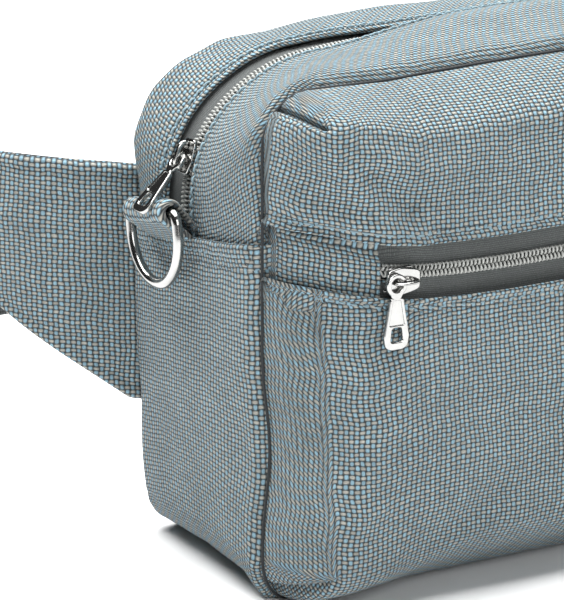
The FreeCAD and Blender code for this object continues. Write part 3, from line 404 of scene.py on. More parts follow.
class Nodes:
    """Short way to write a material's node tree."""

    def __init__(self, name):
        self.material = bpy.data.materials.new(name)
        self.material.use_nodes = True
        self.tree = self.material.node_tree
        self.shader = self.tree.nodes["Principled BSDF"]

    def node(self, kind, inputs=(), **settings):
        made = self.tree.nodes.new(kind)
        for key, value in settings.items():
            setattr(made, key, value)
        for key, value in dict(inputs).items():
            self.feed(value, made.inputs[key])
        return made

    def feed(self, value, socket):
        if isinstance(value, bpy.types.NodeSocket):
            self.tree.links.new(value, socket)
        else:
            socket.default_value = value

    def math(self, operation, *values):
        return self.node("ShaderNodeMath", dict(enumerate(values)), operation=operation).outputs[0]

    def mix(self, share, first, second):
        made = self.node("ShaderNodeMix", data_type="RGBA")
        for key, value in ((0, share), (6, first), (7, second)):
            self.feed(value, made.inputs[key])
        return made.outputs[2]

    def between(self, value, low, high, to_low=0.0, to_high=1.0):
        return self.node("ShaderNodeMapRange", {0: value, 1: low, 2: high, 3: to_low, 4: to_high},
                         interpolation_type="SMOOTHSTEP").outputs[0]

    def noise(self, vector, scale, detail=2.0, dimensions="3D"):
        return self.node("ShaderNodeTexNoise", {"Vector": vector, "Scale": scale, "Detail": detail},
                         noise_dimensions=dimensions).outputs[0]

    def finish(self, color, roughness, height=None, bump=0.0002, **constants):
        self.feed(color, self.shader.inputs["Base Color"])
        self.feed(roughness, self.shader.inputs["Roughness"])
        for key, value in constants.items():
            self.shader.inputs[key.replace("_", " ")].default_value = value
        if height is not None:
            made = self.node("ShaderNodeBump", {"Height": height, "Distance": bump, "Strength": 1.0})
            self.tree.links.new(made.outputs[0], self.shader.inputs["Normal"])
        return self.material


def weave(nodes, warp_step, weft_step, fill=0.46):
    """Plain weave over the flat cloth.

    Gives where the warp lies on top, the threads' height, a chance value for each thread and each crossing,
    the fibres' streaks and the place on the flat cloth."""
    flat = nodes.node("ShaderNodeUVMap", uv_map="cloth").outputs[0]
    drift = nodes.node("ShaderNodeTexNoise", {"Vector": flat, "Scale": 0.16 / warp_step, "Detail": 2.0},
                       noise_dimensions="2D").outputs[1]
    pushed = nodes.node("ShaderNodeVectorMath", {0: drift, 1: (0.9 * warp_step,) * 3, 2: flat},
                        operation="MULTIPLY_ADD").outputs[0]
    split = nodes.node("ShaderNodeSeparateXYZ", {0: pushed})
    across = nodes.math("DIVIDE", split.outputs[0], warp_step)
    along = nodes.math("DIVIDE", split.outputs[1], weft_step)
    column, row = nodes.math("FLOOR", across), nodes.math("FLOOR", along)
    in_x = nodes.math("SUBTRACT", nodes.math("FRACT", across), 0.5)
    in_y = nodes.math("SUBTRACT", nodes.math("FRACT", along), 0.5)
    parity = nodes.math("PINGPONG", nodes.math("ADD", column, row), 1.0)
    sign = nodes.math("MULTIPLY_ADD", parity, -2.0, 1.0)

    def thread(aside, ahead, direction):
        arch = nodes.math("MULTIPLY", nodes.math("COSINE", nodes.math("MULTIPLY", ahead, math.pi)), direction)
        share = nodes.math("DIVIDE", aside, fill)
        square = nodes.math("MULTIPLY", share, share)
        round_top = nodes.math("SQRT", nodes.math("MAXIMUM", nodes.math("SUBTRACT", 1.0, square), 0.0))
        return nodes.math("MULTIPLY", nodes.math("MULTIPLY_ADD", arch, 0.48, 0.52), round_top)

    warp_height = thread(in_x, in_y, sign)
    weft_height = thread(in_y, in_x, nodes.math("MULTIPLY", sign, -1.0))
    height = nodes.math("MAXIMUM", warp_height, weft_height)
    is_warp = nodes.math("GREATER_THAN", warp_height, weft_height)
    is_weft = nodes.math("SUBTRACT", 1.0, is_warp)
    number = nodes.math("ADD", nodes.math("MULTIPLY", column, is_warp),
                        nodes.math("MULTIPLY", nodes.math("ADD", row, 0.37), is_weft))
    chance = nodes.node("ShaderNodeTexWhiteNoise", {"W": number}, noise_dimensions="1D").outputs[0]
    cell = nodes.node("ShaderNodeCombineXYZ", {0: column, 1: row}).outputs[0]
    cell_chance = nodes.node("ShaderNodeTexWhiteNoise", {"Vector": cell}, noise_dimensions="2D").outputs[0]
    # fibres run along the thread that lies on top
    stretch_x = nodes.math("MULTIPLY_ADD", is_warp, 7.0, 1.2)
    stretch_y = nodes.math("MULTIPLY_ADD", is_warp, -7.0, 8.2)
    fibre_x = nodes.math("MULTIPLY", split.outputs[0], stretch_x)
    fibre_y = nodes.math("MULTIPLY", split.outputs[1], stretch_y)
    fibres = nodes.node("ShaderNodeCombineXYZ", {0: fibre_x, 1: fibre_y}).outputs[0]
    fibre = nodes.noise(fibres, 1.0, 2.0, "2D")
    return is_warp, height, chance, cell_chance, fibre, flat


def woven(name, colors, steps, bump, fill=0.46):
    """Cloth with its own colours for warp and weft, a painted shade colour in the gaps where the threads lie
    low, and uneven threads of fibres at the given steps.
    """
    warp_color, weft_color, gap_shade_color = [color + (1,) for color in colors]
    nodes = Nodes(name)
    is_warp, height, chance, cell_chance, fibre, flat = weave(nodes, *steps, fill)
    color = nodes.mix(is_warp, weft_color, warp_color)
    uneven = nodes.math("ADD", nodes.math("MULTIPLY", chance, 0.16), nodes.math("MULTIPLY", cell_chance, 0.2))
    streak = nodes.math("MULTIPLY_ADD", nodes.between(fibre, 0.3, 0.7), 0.3, 0.7)
    cloud = nodes.math("MULTIPLY_ADD", nodes.noise(flat, 0.045, 3.0, "2D"), 0.24, 0.76)
    shade = nodes.math("MULTIPLY", nodes.math("MULTIPLY", nodes.math("ADD", uneven, 0.8), streak), cloud)
    lit = nodes.node("ShaderNodeVectorMath", {0: color, "Scale": shade}, operation="SCALE").outputs[0]
    # painted shade: where the threads lie low, in the gaps and under the crossings, the colour turns to the
    # dark gap shade colour
    shown = nodes.mix(nodes.between(height, 0.26, 0.9), gap_shade_color, lit)
    relief = nodes.math("MULTIPLY_ADD", fibre, 0.12, height)
    return nodes.finish(shown, 0.86, relief, bump, Sheen_Weight=0.12, Sheen_Roughness=0.5)


def plated(name, color, roughness):
    """Bright plating with faint polishing marks."""
    nodes = Nodes(name)
    place = nodes.node("ShaderNodeTexCoord").outputs["Object"]
    cloud = nodes.noise(place, 350.0, 3.0)
    marks = nodes.noise(place, 2600.0, 2.0)
    rough = nodes.math("MULTIPLY_ADD", cloud, 0.05, roughness)
    tone = nodes.mix(nodes.between(cloud, 0.3, 0.75), color, tuple(1.12 * v for v in color[:3]) + (1,))
    return nodes.finish(tone, rough, marks, 0.000004, Metallic=1.0)


def moulded(name, color, roughness, grain):
    """Moulded plastic with a fine grain."""
    nodes = Nodes(name)
    place = nodes.node("ShaderNodeTexCoord").outputs["Object"]
    speck = nodes.noise(place, grain, 3.0)
    tone = nodes.mix(nodes.noise(place, 90.0, 2.0), color, tuple(0.75 * v for v in color[:3]) + (1,))
    return nodes.finish(tone, nodes.math("MULTIPLY_ADD", speck, 0.2, roughness), speck, 0.00003)


def spacer_mesh(name):
    """Dark spacer mesh with rows of round holes, painted near black inside as their shade."""
    nodes = Nodes(name)
    flat = nodes.node("ShaderNodeUVMap", uv_map="cloth").outputs[0]
    cells = nodes.node("ShaderNodeTexVoronoi", {"Vector": flat, "Scale": 0.42, "Randomness": 0.12},
                       voronoi_dimensions="2D")
    hole = nodes.between(cells.outputs[0], 0.22, 0.36)
    thread = nodes.noise(flat, 3.0, 2.0, "2D")
    yarn = nodes.mix(thread, (0.035, 0.04, 0.043, 1), (0.075, 0.08, 0.085, 1))
    # painted shade: the holes are coloured near black for the shade inside them
    tone = nodes.mix(hole, (0.008, 0.009, 0.01, 1), yarn)
    relief = nodes.math("MULTIPLY_ADD", thread, 0.2, hole)
    return nodes.finish(tone, 0.9, relief, 0.0006, Sheen_Weight=0.15)


# cloths: colours of warp, weft and painted shade in the gaps, thread steps in millimetres, height of the
# relief, width of a thread
CLOTHS = {
    "outer_fabric": (((0.285, 0.48, 0.595), (0.455, 0.45, 0.40), (0.010, 0.016, 0.018)),
                     (WARP_STEP, WEFT_STEP), 0.0008, 0.425),
    "thread": (((0.26, 0.37, 0.42), (0.22, 0.32, 0.37), (0.05, 0.06, 0.065)), (0.5, 0.5), 0.0002),
    "lining": (((0.03, 0.034, 0.036), (0.024, 0.028, 0.03), (0.006, 0.006, 0.006)), (0.4, 0.4), 0.0001),
    "binding": (((0.018, 0.022, 0.025), (0.015, 0.018, 0.021), (0.01, 0.01, 0.01)), (0.8, 0.5), 0.0002),
    "zip_tape": (((0.14, 0.155, 0.152), (0.12, 0.13, 0.128), (0.035, 0.04, 0.04)), (0.55, 0.38), 0.0002),
    "webbing": (((0.085, 0.10, 0.108), (0.07, 0.08, 0.085), (0.01, 0.012, 0.012)), (1.6, 0.9), 0.0004),
}
FINISHES = {name: woven(name, *looks) for name, looks in CLOTHS.items()}
FINISHES["mesh"] = spacer_mesh("mesh")
FINISHES["zip_coil"] = moulded("zip_coil", (0.42, 0.43, 0.41, 1), 0.26, 900.0)
FINISHES["nickel"] = plated("nickel", (0.40, 0.40, 0.39, 1), 0.14)
FINISHES["buckle_plastic"] = moulded("buckle_plastic", (0.018, 0.02, 0.022, 1), 0.42, 1500.0)


# ---------------------------------------------------------------- cloth with folded edges

# a folded edge seen in section: (distance inside the edge, depth below the outer face)
FOLD = ((7.0, 1.9), (1.2, 1.75), (0.45, 1.5), (0.08, 1.05), (0.0, 0.75), (0.1, 0.4), (0.42, 0.1), (1.0, 0.0))


def puff(inside):
    """Rise of cloth beside a folded edge: full at the fold, pulled down along the row of stitches."""
    return 0.8 * np.exp(-inside / 1.6) - 0.55 * np.exp(-((inside - EDGE_STITCH) / 0.75) ** 2) * (inside > 0)


def lap(below):
    """Rise of the lower gusset's edge over the strips under it."""
    return 1.3 * smooth(1 - below / 9.0)


def lower_gusset():
    """Bottom and sides in one strip, folded over the zip strips along the side seam."""
    y = seam_columns(1.5)
    flat_run = np.concatenate([spaced((0, 0.93, 0.014)), spaced((0.94, 1, 0.02), (1, 2, 0.05))[1:]])
    side_run = spaced((0.0, 1.0, 0.018))[1:-1]
    half = [(0 * y + at, 0 * y) for at in flat_run]
    foot, seam = base_radius(y), side_seam(y)
    top_station = side_station(seam, y)
    per_mm = 1 / (HEIGHT - top_radius(y) - foot)
    for share in side_run:
        reach = 2 + (top_station - 2) * share
        raise_by = lap((top_station - reach) / per_mm)
        half.append((reach, raise_by))
    for inside, deep in reversed(FOLD):
        half.append((top_station - inside * per_mm, 0 * y + 1.3 - deep))
    left = [(-station, lift) for station, lift in reversed(half)]
    stations = np.array([s for s, _ in left + half[1:]])
    lifts = np.array([l for _, l in left + half[1:]])
    points = gusset(stations, np.broadcast_to(y, stations.shape), lifts)
    up_the_middle = measured(points[:, len(y) // 2:len(y) // 2 + 1])
    run = up_the_middle - up_the_middle[len(points) // 2]
    shape = Shape()
    shape.grid(points, laid_flat(points, run))
    thicken(piece_of("lower_gusset", shape, "outer_fabric", "bag", "gusset_lower"), CLOTH)


def zip_line(at):
    """Depth of the main zip's line, which drifts back a little over the flat top."""
    return ZIP_Y + 4.0 * smooth((at - 4.0) / 0.9)


def sunk(at):
    """How far the main zip lies deeper over the flat top, behind the front strip's crown."""
    return 1.0 * smooth((at - 4.02) / 0.5)


def strip_stations(y, under):
    """Stations of a zip strip from under the side seam over the top to the other side."""
    foot = side_station(side_seam(y) - under, y)
    shares = spaced((0, 1, 0.055))
    half = [foot + (3 - foot) * share for share in shares[:-1]]
    half += [0 * y + at for at in spaced((3, 4, 0.028), (4, 5, 0.022))]
    return np.array([-row for row in half] + half[-2::-1])


def crown_at(y, near, far, at, bulge, open_front):
    """Rise of a zip strip across its width: sunk under the side seam, high in front of the top's zip."""
    share = np.clip((y - near) / (far - near), 0, 1)
    above = (at - side_station(side_seam(0.0), 0.0)) * 40
    crown = bulge * np.sin(math.pi * share) ** 0.8 * smooth(above / 12) - 1.1 * smooth(1 - (above + 2) / 5)
    if open_front:
        crown = crown + 2.7 * smooth((at - 4.02) / 0.5) * smooth(share * 1.6 - 0.3)
    return crown


def zip_strip(name, y_from, y_to, bulge, node):
    """One of the two strips beside the main zip. y_from and y_to give each edge's depth along the strip."""
    shares = spaced((0, 1, 0.045))
    open_front = y_to(0) < SEAM - 1
    base_y = np.linspace(-SEAM if open_front else ZIP_Y, ZIP_Y if open_front else SEAM, 3)
    stations = strip_stations(base_y, 5.0)[:, :1]
    at = np.abs(stations)
    near, far = y_from(at), y_to(at)
    span = far - near
    roll = SEAM_ROLL * (1 - np.cos(np.linspace(0, math.pi / 2, 6)))
    inside = [(deep_in, -deep) for deep_in, deep in FOLD]
    if open_front:
        across = [near + r for r in roll]
        across += [near + SEAM_ROLL + (span - SEAM_ROLL - 1.5) * s for s in shares[1:]]
        lifts = [0 * near] * len(across)
        for deep_in, lift in reversed(inside):
            across.append(far - deep_in)
            lifts.append(0 * near + lift)
    else:
        across, lifts = [], []
        for deep_in, lift in inside:
            across.append(near + deep_in)
            lifts.append(0 * near + lift)
        rest = [near + 1.5 + (span - SEAM_ROLL - 1.5) * s for s in shares[1:]]
        across += rest + [far - r for r in roll[::-1][1:]]
        lifts += [0 * near] * (len(rest) + len(roll) - 1)
    y = np.hstack(across)
    lift = np.hstack(lifts)
    crown = crown_at(y, near, far, at, bulge, open_front)
    from_fold = np.abs((far if open_front else near) - y)
    lift = lift - 0.5 * np.exp(-((from_fold - EDGE_STITCH) / 0.8) ** 2)
    points = gusset(np.broadcast_to(stations, y.shape), y, lift + crown)
    shape = Shape()
    shape.grid(points, laid_flat(points, measured(points)), flip=True)
    thicken(piece_of(name, shape, "outer_fabric", "bag", node), CLOTH)
    row = far - EDGE_STITCH if open_front else near + EDGE_STITCH
    crown = crown_at(row, near, far, at, bulge, open_front)[:, 0]
    place = gusset(stations[:, 0], row[:, 0], 0.1 + crown)
    raised = gusset(stations[:, 0], row[:, 0], 1.1 + crown)
    stitch_row("stitches_" + name, [(place, raised - place)])


def zip_strips():
    """The front strip ends in front of the zip; the back strip closes up to it over the flat top."""
    def front_seam(at):
        return 0 * at - SEAM

    def front_fold(at):
        return zip_line(at) - 4.2

    def back_fold(at):
        return zip_line(at) + 8.0 - 4.6 * smooth((at - 4.0) / 0.45)

    def back_seam(at):
        return 0 * at + SEAM

    zip_strip("zip_strip_front", front_seam, front_fold, 1.5, "gusset_front_strip")
    zip_strip("zip_strip_back", back_fold, back_seam, 0.6, "gusset_back_strip")


def front_flat(points, x):
    """Flat places of a front panel's points: arc lengths from the middle column."""
    along = measured(np.swapaxes(points, 0, 1)).T
    middle = along[:, [int(np.argmin(np.abs(x[0])))]]
    up = measured(points)
    return np.stack([along - middle, up - up[:1] + points[:1, :1, 2]], axis=-1)


def column_shares():
    """Shares of the half length for a front panel's columns, dense towards the sides."""
    half = spaced((0, 0.74, 0.0125), (0.74, 0.88, 0.006), (0.88, 1, 0.0029))
    return np.concatenate([-half[::-1], half[1:]])


def front_panel(name, rows, node):
    """Panel of the front pocket from (height, lift) rows."""
    z = np.array([row[0] for row in rows])[:, None]
    lift = np.array([row[1] for row in rows])[:, None]
    x = column_shares()[None, :] * flank(z)
    z, lift = np.broadcast_to(z, x.shape), np.broadcast_to(lift, x.shape)
    points = pocket(x, z, lift)
    flat = front_flat(points, x)
    shape = Shape()
    shape.grid(points, flat)
    thicken(piece_of(name, shape, "outer_fabric", "bag", node), CLOTH)


def front_panels():
    """Upper and lower panel, each folded over beside the pocket zip's window."""
    low, high = PANEL_INSET, HEIGHT - PANEL_INSET
    upper = [(BAND_HIGH + inside, 0.8 - deep) for inside, deep in FOLD]
    heights = spaced((BAND_HIGH + 1.0, BAND_HIGH + 6, 0.35), (BAND_HIGH + 6, 116, 1.1),
                     (116, high - 1, 0.33), (high - 1, high, 0.15))
    upper += [(z, puff(z - BAND_HIGH)) for z in heights[1:]]
    front_panel("pocket_panel_upper", upper, "front_panel_upper")
    lower = [(z, 0.0) for z in spaced((low, low + 1, 0.15), (low + 1, 18, 0.4), (18, BAND_LOW - 6, 1.2))[:-1]]
    lower += [(z, puff(BAND_LOW - z)) for z in spaced((BAND_LOW - 6, BAND_LOW - 1.0, 0.35))[:-1]]
    lower += [(BAND_LOW - inside, 0.8 - deep) for inside, deep in reversed(FOLD)]
    front_panel("pocket_panel_lower", lower, "front_panel_lower")


def stitch_row(name, rows, pitch=3.1, long=2.3, radius=0.30):
    """Rows of lockstitch threads: short bars lying on the cloth, their ends dipping into it."""
    shape = Shape()
    for path, normal in rows:
        normal = unit(normal)
        run = run_along(path)
        for start in np.arange(1.0, run[-1] - long, pitch):
            at = start + np.linspace(0, long, 5)
            spot = resampled(at, run, path)
            up = resampled(at, run, normal)
            dip = np.array([-0.45, 0.0, 0.12, 0.0, -0.45])[:, None]
            shape.tube(spot + up * dip, radius, sides=6, up=up[2])
    piece_of(name, shape, "thread", "bag")


def panel_stitches():
    """Stitching beside the pocket zip's window, along both panels."""
    x = spaced((-0.985, 0.985, 0.004))
    for z, word in ((BAND_HIGH + EDGE_STITCH, "upper"), (BAND_LOW - EDGE_STITCH, "lower")):
        height = 0 * x + z
        across = x * flank(height)
        place = pocket(across, height, 0 * x - 0.3)
        stitch_row("stitches_band_" + word, [(place, pocket(across, height, 0 * x + 0.7) - place)])


def seam_stitches():
    """Stitching under the lower gusset's folded edges on both sides."""
    y = spaced((-SEAM + 5.0, SEAM - 5.0, 0.8))
    per_mm = 1 / (HEIGHT - top_radius(y) - base_radius(y))
    rows = []
    for side in (-1, 1):
        station = side * (side_station(side_seam(y), y) - 3.4 * per_mm)
        place = gusset(station, y, 0 * y + 0.85)
        rows.append((place, gusset(station, y, 0 * y + 1.85) - place))
    stitch_row("stitches_side_seams", rows)


def zip_ends():
    """Cloth pieces that close the pocket zip's window at both ends, under the panels' folded edges."""
    for side, name in ((-1, "left"), (1, "right")):
        z = spaced((BAND_LOW - 5, BAND_HIGH + 5, 0.8))[:, None]
        outer = flank(z)
        shares = spaced((0, 1, 0.03))
        inner = [(WINDOW + inside, BAND_DEEP + 0.7 * deep) for inside, deep in FOLD]
        x = np.hstack([0 * z + reach for reach, _ in inner]
                      + [WINDOW + 1.2 + (outer - WINDOW - 1.2) * share for share in shares[1:]])
        lift = np.hstack([0 * z - deep for _, deep in inner] + [0 * z - BAND_DEEP for _ in shares[1:]])
        points = pocket(side * x, np.broadcast_to(z, x.shape), lift)
        flat = paired(side * measured(np.swapaxes(points, 0, 1)).T, z)
        shape = Shape()
        shape.grid(points, flat, flip=side < 0)
        thicken(piece_of("zip_end_" + name, shape, "outer_fabric", "bag", "pocket_zip_end_" + name), 0.8)


# ---------------------------------------------------------------- zips

def main_line(offset, lift, count=700):
    """Points along the main zip, evenly spaced, at an offset across it and a lift, with normals."""
    foot = side_station(ZIP_FOOT - 4, 0)
    half = spaced((foot, 3, 0.02), (3, 4, 0.01), (4, 5, 0.01))
    stations = np.concatenate([-half, half[-2::-1]])
    y = zip_line(np.abs(stations)) + offset
    points = gusset(stations, y, lift - sunk(np.abs(stations)))
    raised = gusset(stations, y, lift - sunk(np.abs(stations)) + 1)
    run = run_along(points)
    even = np.linspace(0, run[-1], count)
    return resampled(even, run, points), unit(resampled(even, run, raised - points)), run[-1]


def coil(shape, path, normal, length, side, width=1.35, rise=1.1, wire=0.34, pitch=1.22):
    """Spiral coil of a zip along a path: a wire wound into slanting teeth."""
    turns, per_turn = round(length / pitch), 9
    steps = turns * per_turn
    at = np.linspace(0, len(path) - 1, steps + 1)
    centre = resampled(at, range(len(path)), path)
    up = resampled(at, range(len(path)), normal)
    ahead = unit(np.gradient(centre, axis=0))
    across = np.cross(ahead, up)
    angle = np.arange(steps + 1) * 2 * math.pi / per_turn + (math.pi if side > 0 else 0)
    wound = (centre + across * (np.cos(angle) * width / 2)[:, None] * side
             + up * (np.sin(angle) * rise / 2)[:, None] + ahead * (0.22 * pitch * np.cos(angle))[:, None])
    shape.tube(wound, wire, sides=6)


def tape(name, node, points, flat, flip=False):
    shape = Shape()
    shape.grid(points, flat, flip=flip)
    thicken(piece_of(name, shape, "zip_tape", "bag", node), 0.6)


def main_zip():
    """Tapes and coils of the main zip, from one side seam over the top to the other."""
    across = np.array((0.3, 2.0, 4.0, 6.0, 8.0, 10.0, 12.0))
    for side, word in ((-1, "front"), (1, "back")):
        points = np.stack([main_line(side * reach, -WALL)[0] for reach in across], axis=1)
        run = np.linspace(0, main_line(0, -WALL)[2], len(points))[:, None]
        tape("main_tape_" + word, "main_zip_tape_" + word, points, paired(across, run), flip=side > 0)
        path, normal, length = main_line(side * COIL_OFFSET, -WALL + COIL_RISE / 2)
        shape = Shape()
        coil(shape, path, normal, length, side)
        piece_of("main_coil_" + word, shape, "zip_coil", "bag", "main_zip_coil_" + word)


def pocket_zip():
    """Tapes and coils of the pocket zip behind its window, following the pocket's skin."""
    middle = (BAND_LOW + BAND_HIGH) / 2
    x = spaced((-WINDOW - 1, WINDOW + 1, 1.2))
    for side, word in ((-1, "lower"), (1, "upper")):
        z = middle + side * np.linspace(0.3, 11.5, 9)
        grid_x, grid_z = np.meshgrid(x, z, indexing="ij")
        points = pocket(grid_x, grid_z, -WALL + 0 * grid_x)
        flat = np.stack([grid_z, grid_x], axis=-1)
        tape("pocket_tape_" + word, "pocket_zip_tape_" + word, points, flat, flip=side > 0)
        line = np.linspace(-WINDOW, WINDOW, 400)
        path = pocket(line, 0 * line + middle + side * COIL_OFFSET, -WALL + COIL_RISE / 2 + 0 * line)
        normal = np.broadcast_to(np.array([0.0, -1.0, 0.0]), path.shape)
        shape = Shape()
        coil(shape, path, normal, 2 * WINDOW, -side)
        piece_of("pocket_coil_" + word, shape, "zip_coil", "bag", "pocket_zip_coil_" + word)


# ---------------------------------------------------------------- metal pieces

def flat_plate(shape, loops, thick, edge, origin, x_axis, y_axis):
    """Adds a flat plate with rounded edges, from an outline and holes in the plate's own middle plane."""
    curve = bpy.data.curves.new("plate", "CURVE")
    curve.dimensions, curve.fill_mode = "2D", "BOTH"
    curve.extrude, curve.bevel_depth, curve.offset = thick / 2 - edge, edge, -edge
    curve.bevel_resolution = 2
    for loop in loops:
        spline = curve.splines.new("POLY")
        spline.points.add(len(loop) - 1)
        for point, (x, y) in zip(spline.points, loop):
            point.co = (x, y, 0, 1)
        spline.use_cyclic_u = True
    item = bpy.data.objects.new("plate", curve)
    mesh = bpy.data.meshes.new_from_object(item)
    local = np.array([vertex.co for vertex in mesh.vertices])
    x_axis, y_axis = np.array(x_axis, float), np.array(y_axis, float)
    placed = (np.array(origin) + local[:, :1] * x_axis + local[:, 1:2] * y_axis
              + local[:, 2:] * np.cross(x_axis, y_axis))
    shape.faces += [[shape.count + index for index in face.vertices] for face in mesh.polygons]
    shape.points.append(placed)
    shape.flat.append(np.zeros((len(placed), 2)))
    shape.count += len(placed)
    bpy.data.objects.remove(item)
    bpy.data.meshes.remove(mesh)
    bpy.data.curves.remove(curve)


def rounded(points, radius, steps=4):
    """Polygon with its corners rounded."""
    points = [np.array(point, float) for point in points]
    made = []
    for before, corner, after in zip(points[-1:] + points[:-1], points, points[1:] + points[:1]):
        to_before, to_after = before - corner, after - corner
        cut_a = min(radius, np.linalg.norm(to_before) * 0.45)
        cut_b = min(radius, np.linalg.norm(to_after) * 0.45)
        a = corner + to_before / np.linalg.norm(to_before) * cut_a
        b = corner + to_after / np.linalg.norm(to_after) * cut_b
        for s in np.linspace(0, 1, steps + 1):
            made.append((1 - s) ** 2 * a + 2 * s * (1 - s) * corner + s ** 2 * b)
    return [tuple(point) for point in made]


def plated_piece(name, shape, body):
    """A body's only piece, in nickel, standing for the CAD node of the body's name."""
    item = piece_of(name, shape, "nickel", body, body)
    item.modifiers.new("normals", "WEIGHTED_NORMAL").keep_sharp = True


def zip_pull(name, body, pivot, along, facing):
    """Pull on a bridge: an eye, a neck and a tapering panel with a raised rim and a window near its tip."""
    length, eye_radius, eye_x = PULL_LENGTH, 3.0, -2.3
    tip_x = -(length - 0.65)
    eye = [(eye_x + eye_radius * math.cos(a), eye_radius * math.sin(a)) for a in np.linspace(-2.45, 2.45, 25)]
    outline = rounded([(-5.6, 1.9), (tip_x + 3.4, 3.7), (tip_x + 0.9, 3.3), (tip_x, 1.9),
                       (tip_x, -1.9), (tip_x + 0.9, -3.3), (tip_x + 3.4, -3.7), (-5.6, -1.9)], 0.7)
    outer = eye + outline
    around = np.linspace(0, 2 * math.pi, 20, endpoint=False)
    hole = [(eye_x + 1.75 * math.cos(a), 1.75 * math.sin(a)) for a in around]
    recess = rounded([(-6.3, 1.15), (tip_x + 6.6, 2.25), (tip_x + 6.6, -2.25), (-6.3, -1.15)], 0.5)
    window = rounded([(tip_x + 5.9, 1.5), (tip_x + 5.9, -1.5), (tip_x + 2.1, -1.9), (tip_x + 2.1, 1.9)], 0.9)
    across = np.cross(facing, along)
    shape = Shape()
    flat_plate(shape, [outer, hole, recess, window], 1.3, 0.3, pivot, along, across)
    shrunk = rounded([(-5.4, 1.5), (tip_x + 6.2, 2.7), (tip_x + 6.2, -2.7), (-5.4, -1.5)], 0.5)
    flat_plate(shape, [shrunk], 0.75, 0.1, pivot, along, across)
    plated_piece(name, shape, body)


def zip_slider(name, body, foot, along, outward):
    """Slider: two waisted plates, turned-down flanges, the wedge between them and an arched bridge."""
    across = np.cross(outward, along)
    half_length, half_width, plate, throat = 4.8, 3.7, 1.1, 3.75
    waist = rounded([(-half_length, -2.3), (-3.4, -2.9), (1.0, -half_width), (half_length, -2.9),
                     (half_length, 2.9), (1.0, half_width), (-3.4, 2.9), (-half_length, 2.3)], 0.9)
    shape = Shape()
    flat_plate(shape, [waist], plate, 0.3, foot + outward * plate / 2, along, across)
    flat_plate(shape, [waist], plate, 0.3, foot - outward * (throat + plate / 2), along, across)
    flange = rounded([(-3.2, -0.6), (3.6, -0.6), (3.6, 0.6), (-3.2, 0.6)], 0.5)
    for side in (-1, 1):
        place = foot + across * side * (half_width - 0.42) - outward * 0.45
        flat_plate(shape, [flange], 0.6, 0.2, place + along * 0.2, along, outward)
        place = place - outward * (throat - 0.9)
        flat_plate(shape, [flange], 0.6, 0.2, place + along * 0.2, along, outward)
    post = rounded([(0.8, -0.45), (half_length - 0.2, -0.45), (half_length - 0.2, 0.45), (0.8, 0.45)], 0.2)
    flat_plate(shape, [post], throat + 0.3, 0.1, foot - outward * throat / 2, along, across)
    turn = np.linspace(0, math.pi, 21)
    reach, rise = BRIDGE_HALF - 0.45, 2.5
    # powers below 1 make the arch squarer than an ellipse
    arch_x = -reach * np.sign(np.cos(turn)) * np.abs(np.cos(turn)) ** 0.45
    arch_z = plate - 0.3 + rise * np.abs(np.sin(turn)) ** 0.62
    path = foot + arch_x[:, None] * along + arch_z[:, None] * outward
    shape.tube(path, 1.05, sides=12, flatten=0.48, up=across)
    plated_piece(name, shape, body)


def refinish(finish, *nodes):
    """CAD nodes that keep their shape get one of the finishes."""
    for node in nodes:
        item = frame["nodes"][node]
        item.data.materials.clear()
        item.data.materials.append(FINISHES[finish])


def joint_place(name):
    """A joint's place in millimetres."""
    joint = next(joint for joint in frame["joints"] if joint["name"] == name)
    return np.array(joint["pos_m"]) / MM


def metal():
    """Sliders and pulls of both zips; the rings keep the CAD shape and get the plated finish."""
    y_axis = np.array([0.0, 1.0, 0.0])
    hub = joint_place("main_zip_run")
    outward = np.array([-math.cos(SLIDER_TURN), 0, math.sin(SLIDER_TURN)])
    downhill = np.array([-math.sin(SLIDER_TURN), 0, -math.cos(SLIDER_TURN)])
    hub[1] = ZIP_Y
    foot = hub + outward * (SHOULDER - TOP_PLATE_DEPTH)
    zip_slider("main_zip_slider", "main_slider", foot, downhill, outward)
    upwards = np.array([math.sin(PULL_LEAN), 0, math.cos(PULL_LEAN)])
    facing = np.array([-math.cos(PULL_LEAN), 0, math.sin(PULL_LEAN)])
    zip_pull("main_zip_pull", "main_pull", joint_place("main_pull_swing"), upwards, facing)
    low, high = corners("pocket_slider")
    foot = np.array([(low[0] + high[0]) / 2, POCKET_FRONT + TOP_PLATE_DEPTH, (low[2] + high[2]) / 2])
    zip_slider("pocket_zip_slider", "pocket_slider", foot, np.array([-1.0, 0, 0]), -y_axis)
    low, high = corners("pocket_pull")
    pivot = np.array([(low[0] + high[0]) / 2, (low[1] + high[1]) / 2, high[2] - 0.65])
    zip_pull("pocket_zip_pull", "pocket_pull", pivot, np.array([0.0, 0, 1.0]), -y_axis)
    refinish("nickel", "d_ring_left", "d_ring_right")


def tab_section(radius):
    """Section of a tab about its ring's bar: in from the seam, round the wire and back to the seam."""
    foot = np.array([6.4, -6.6])                # where both layers meet the seam, seen from the bar
    slope = math.atan2(foot[1], foot[0])
    half_gap = 0.9

    def on_circle(turn):
        return radius * np.array([math.cos(slope + turn), math.sin(slope + turn)])

    low_base = foot + np.array([math.sin(slope), -math.cos(slope)]) * half_gap
    high_base = foot + np.array([-math.sin(slope), math.cos(slope)]) * half_gap
    low_top, high_top = on_circle(-math.pi / 2), on_circle(math.pi / 2)
    section = [low_base + (low_top - low_base) * leg for leg in spaced((0, 0.8, 0.1))]
    section += [on_circle(-turn) for turn in spaced((math.pi / 2, 3 * math.pi / 2, 0.22))]
    section += [high_top + (high_base - high_top) * leg for leg in spaced((0.2, 1, 0.1))]
    return np.array(section)


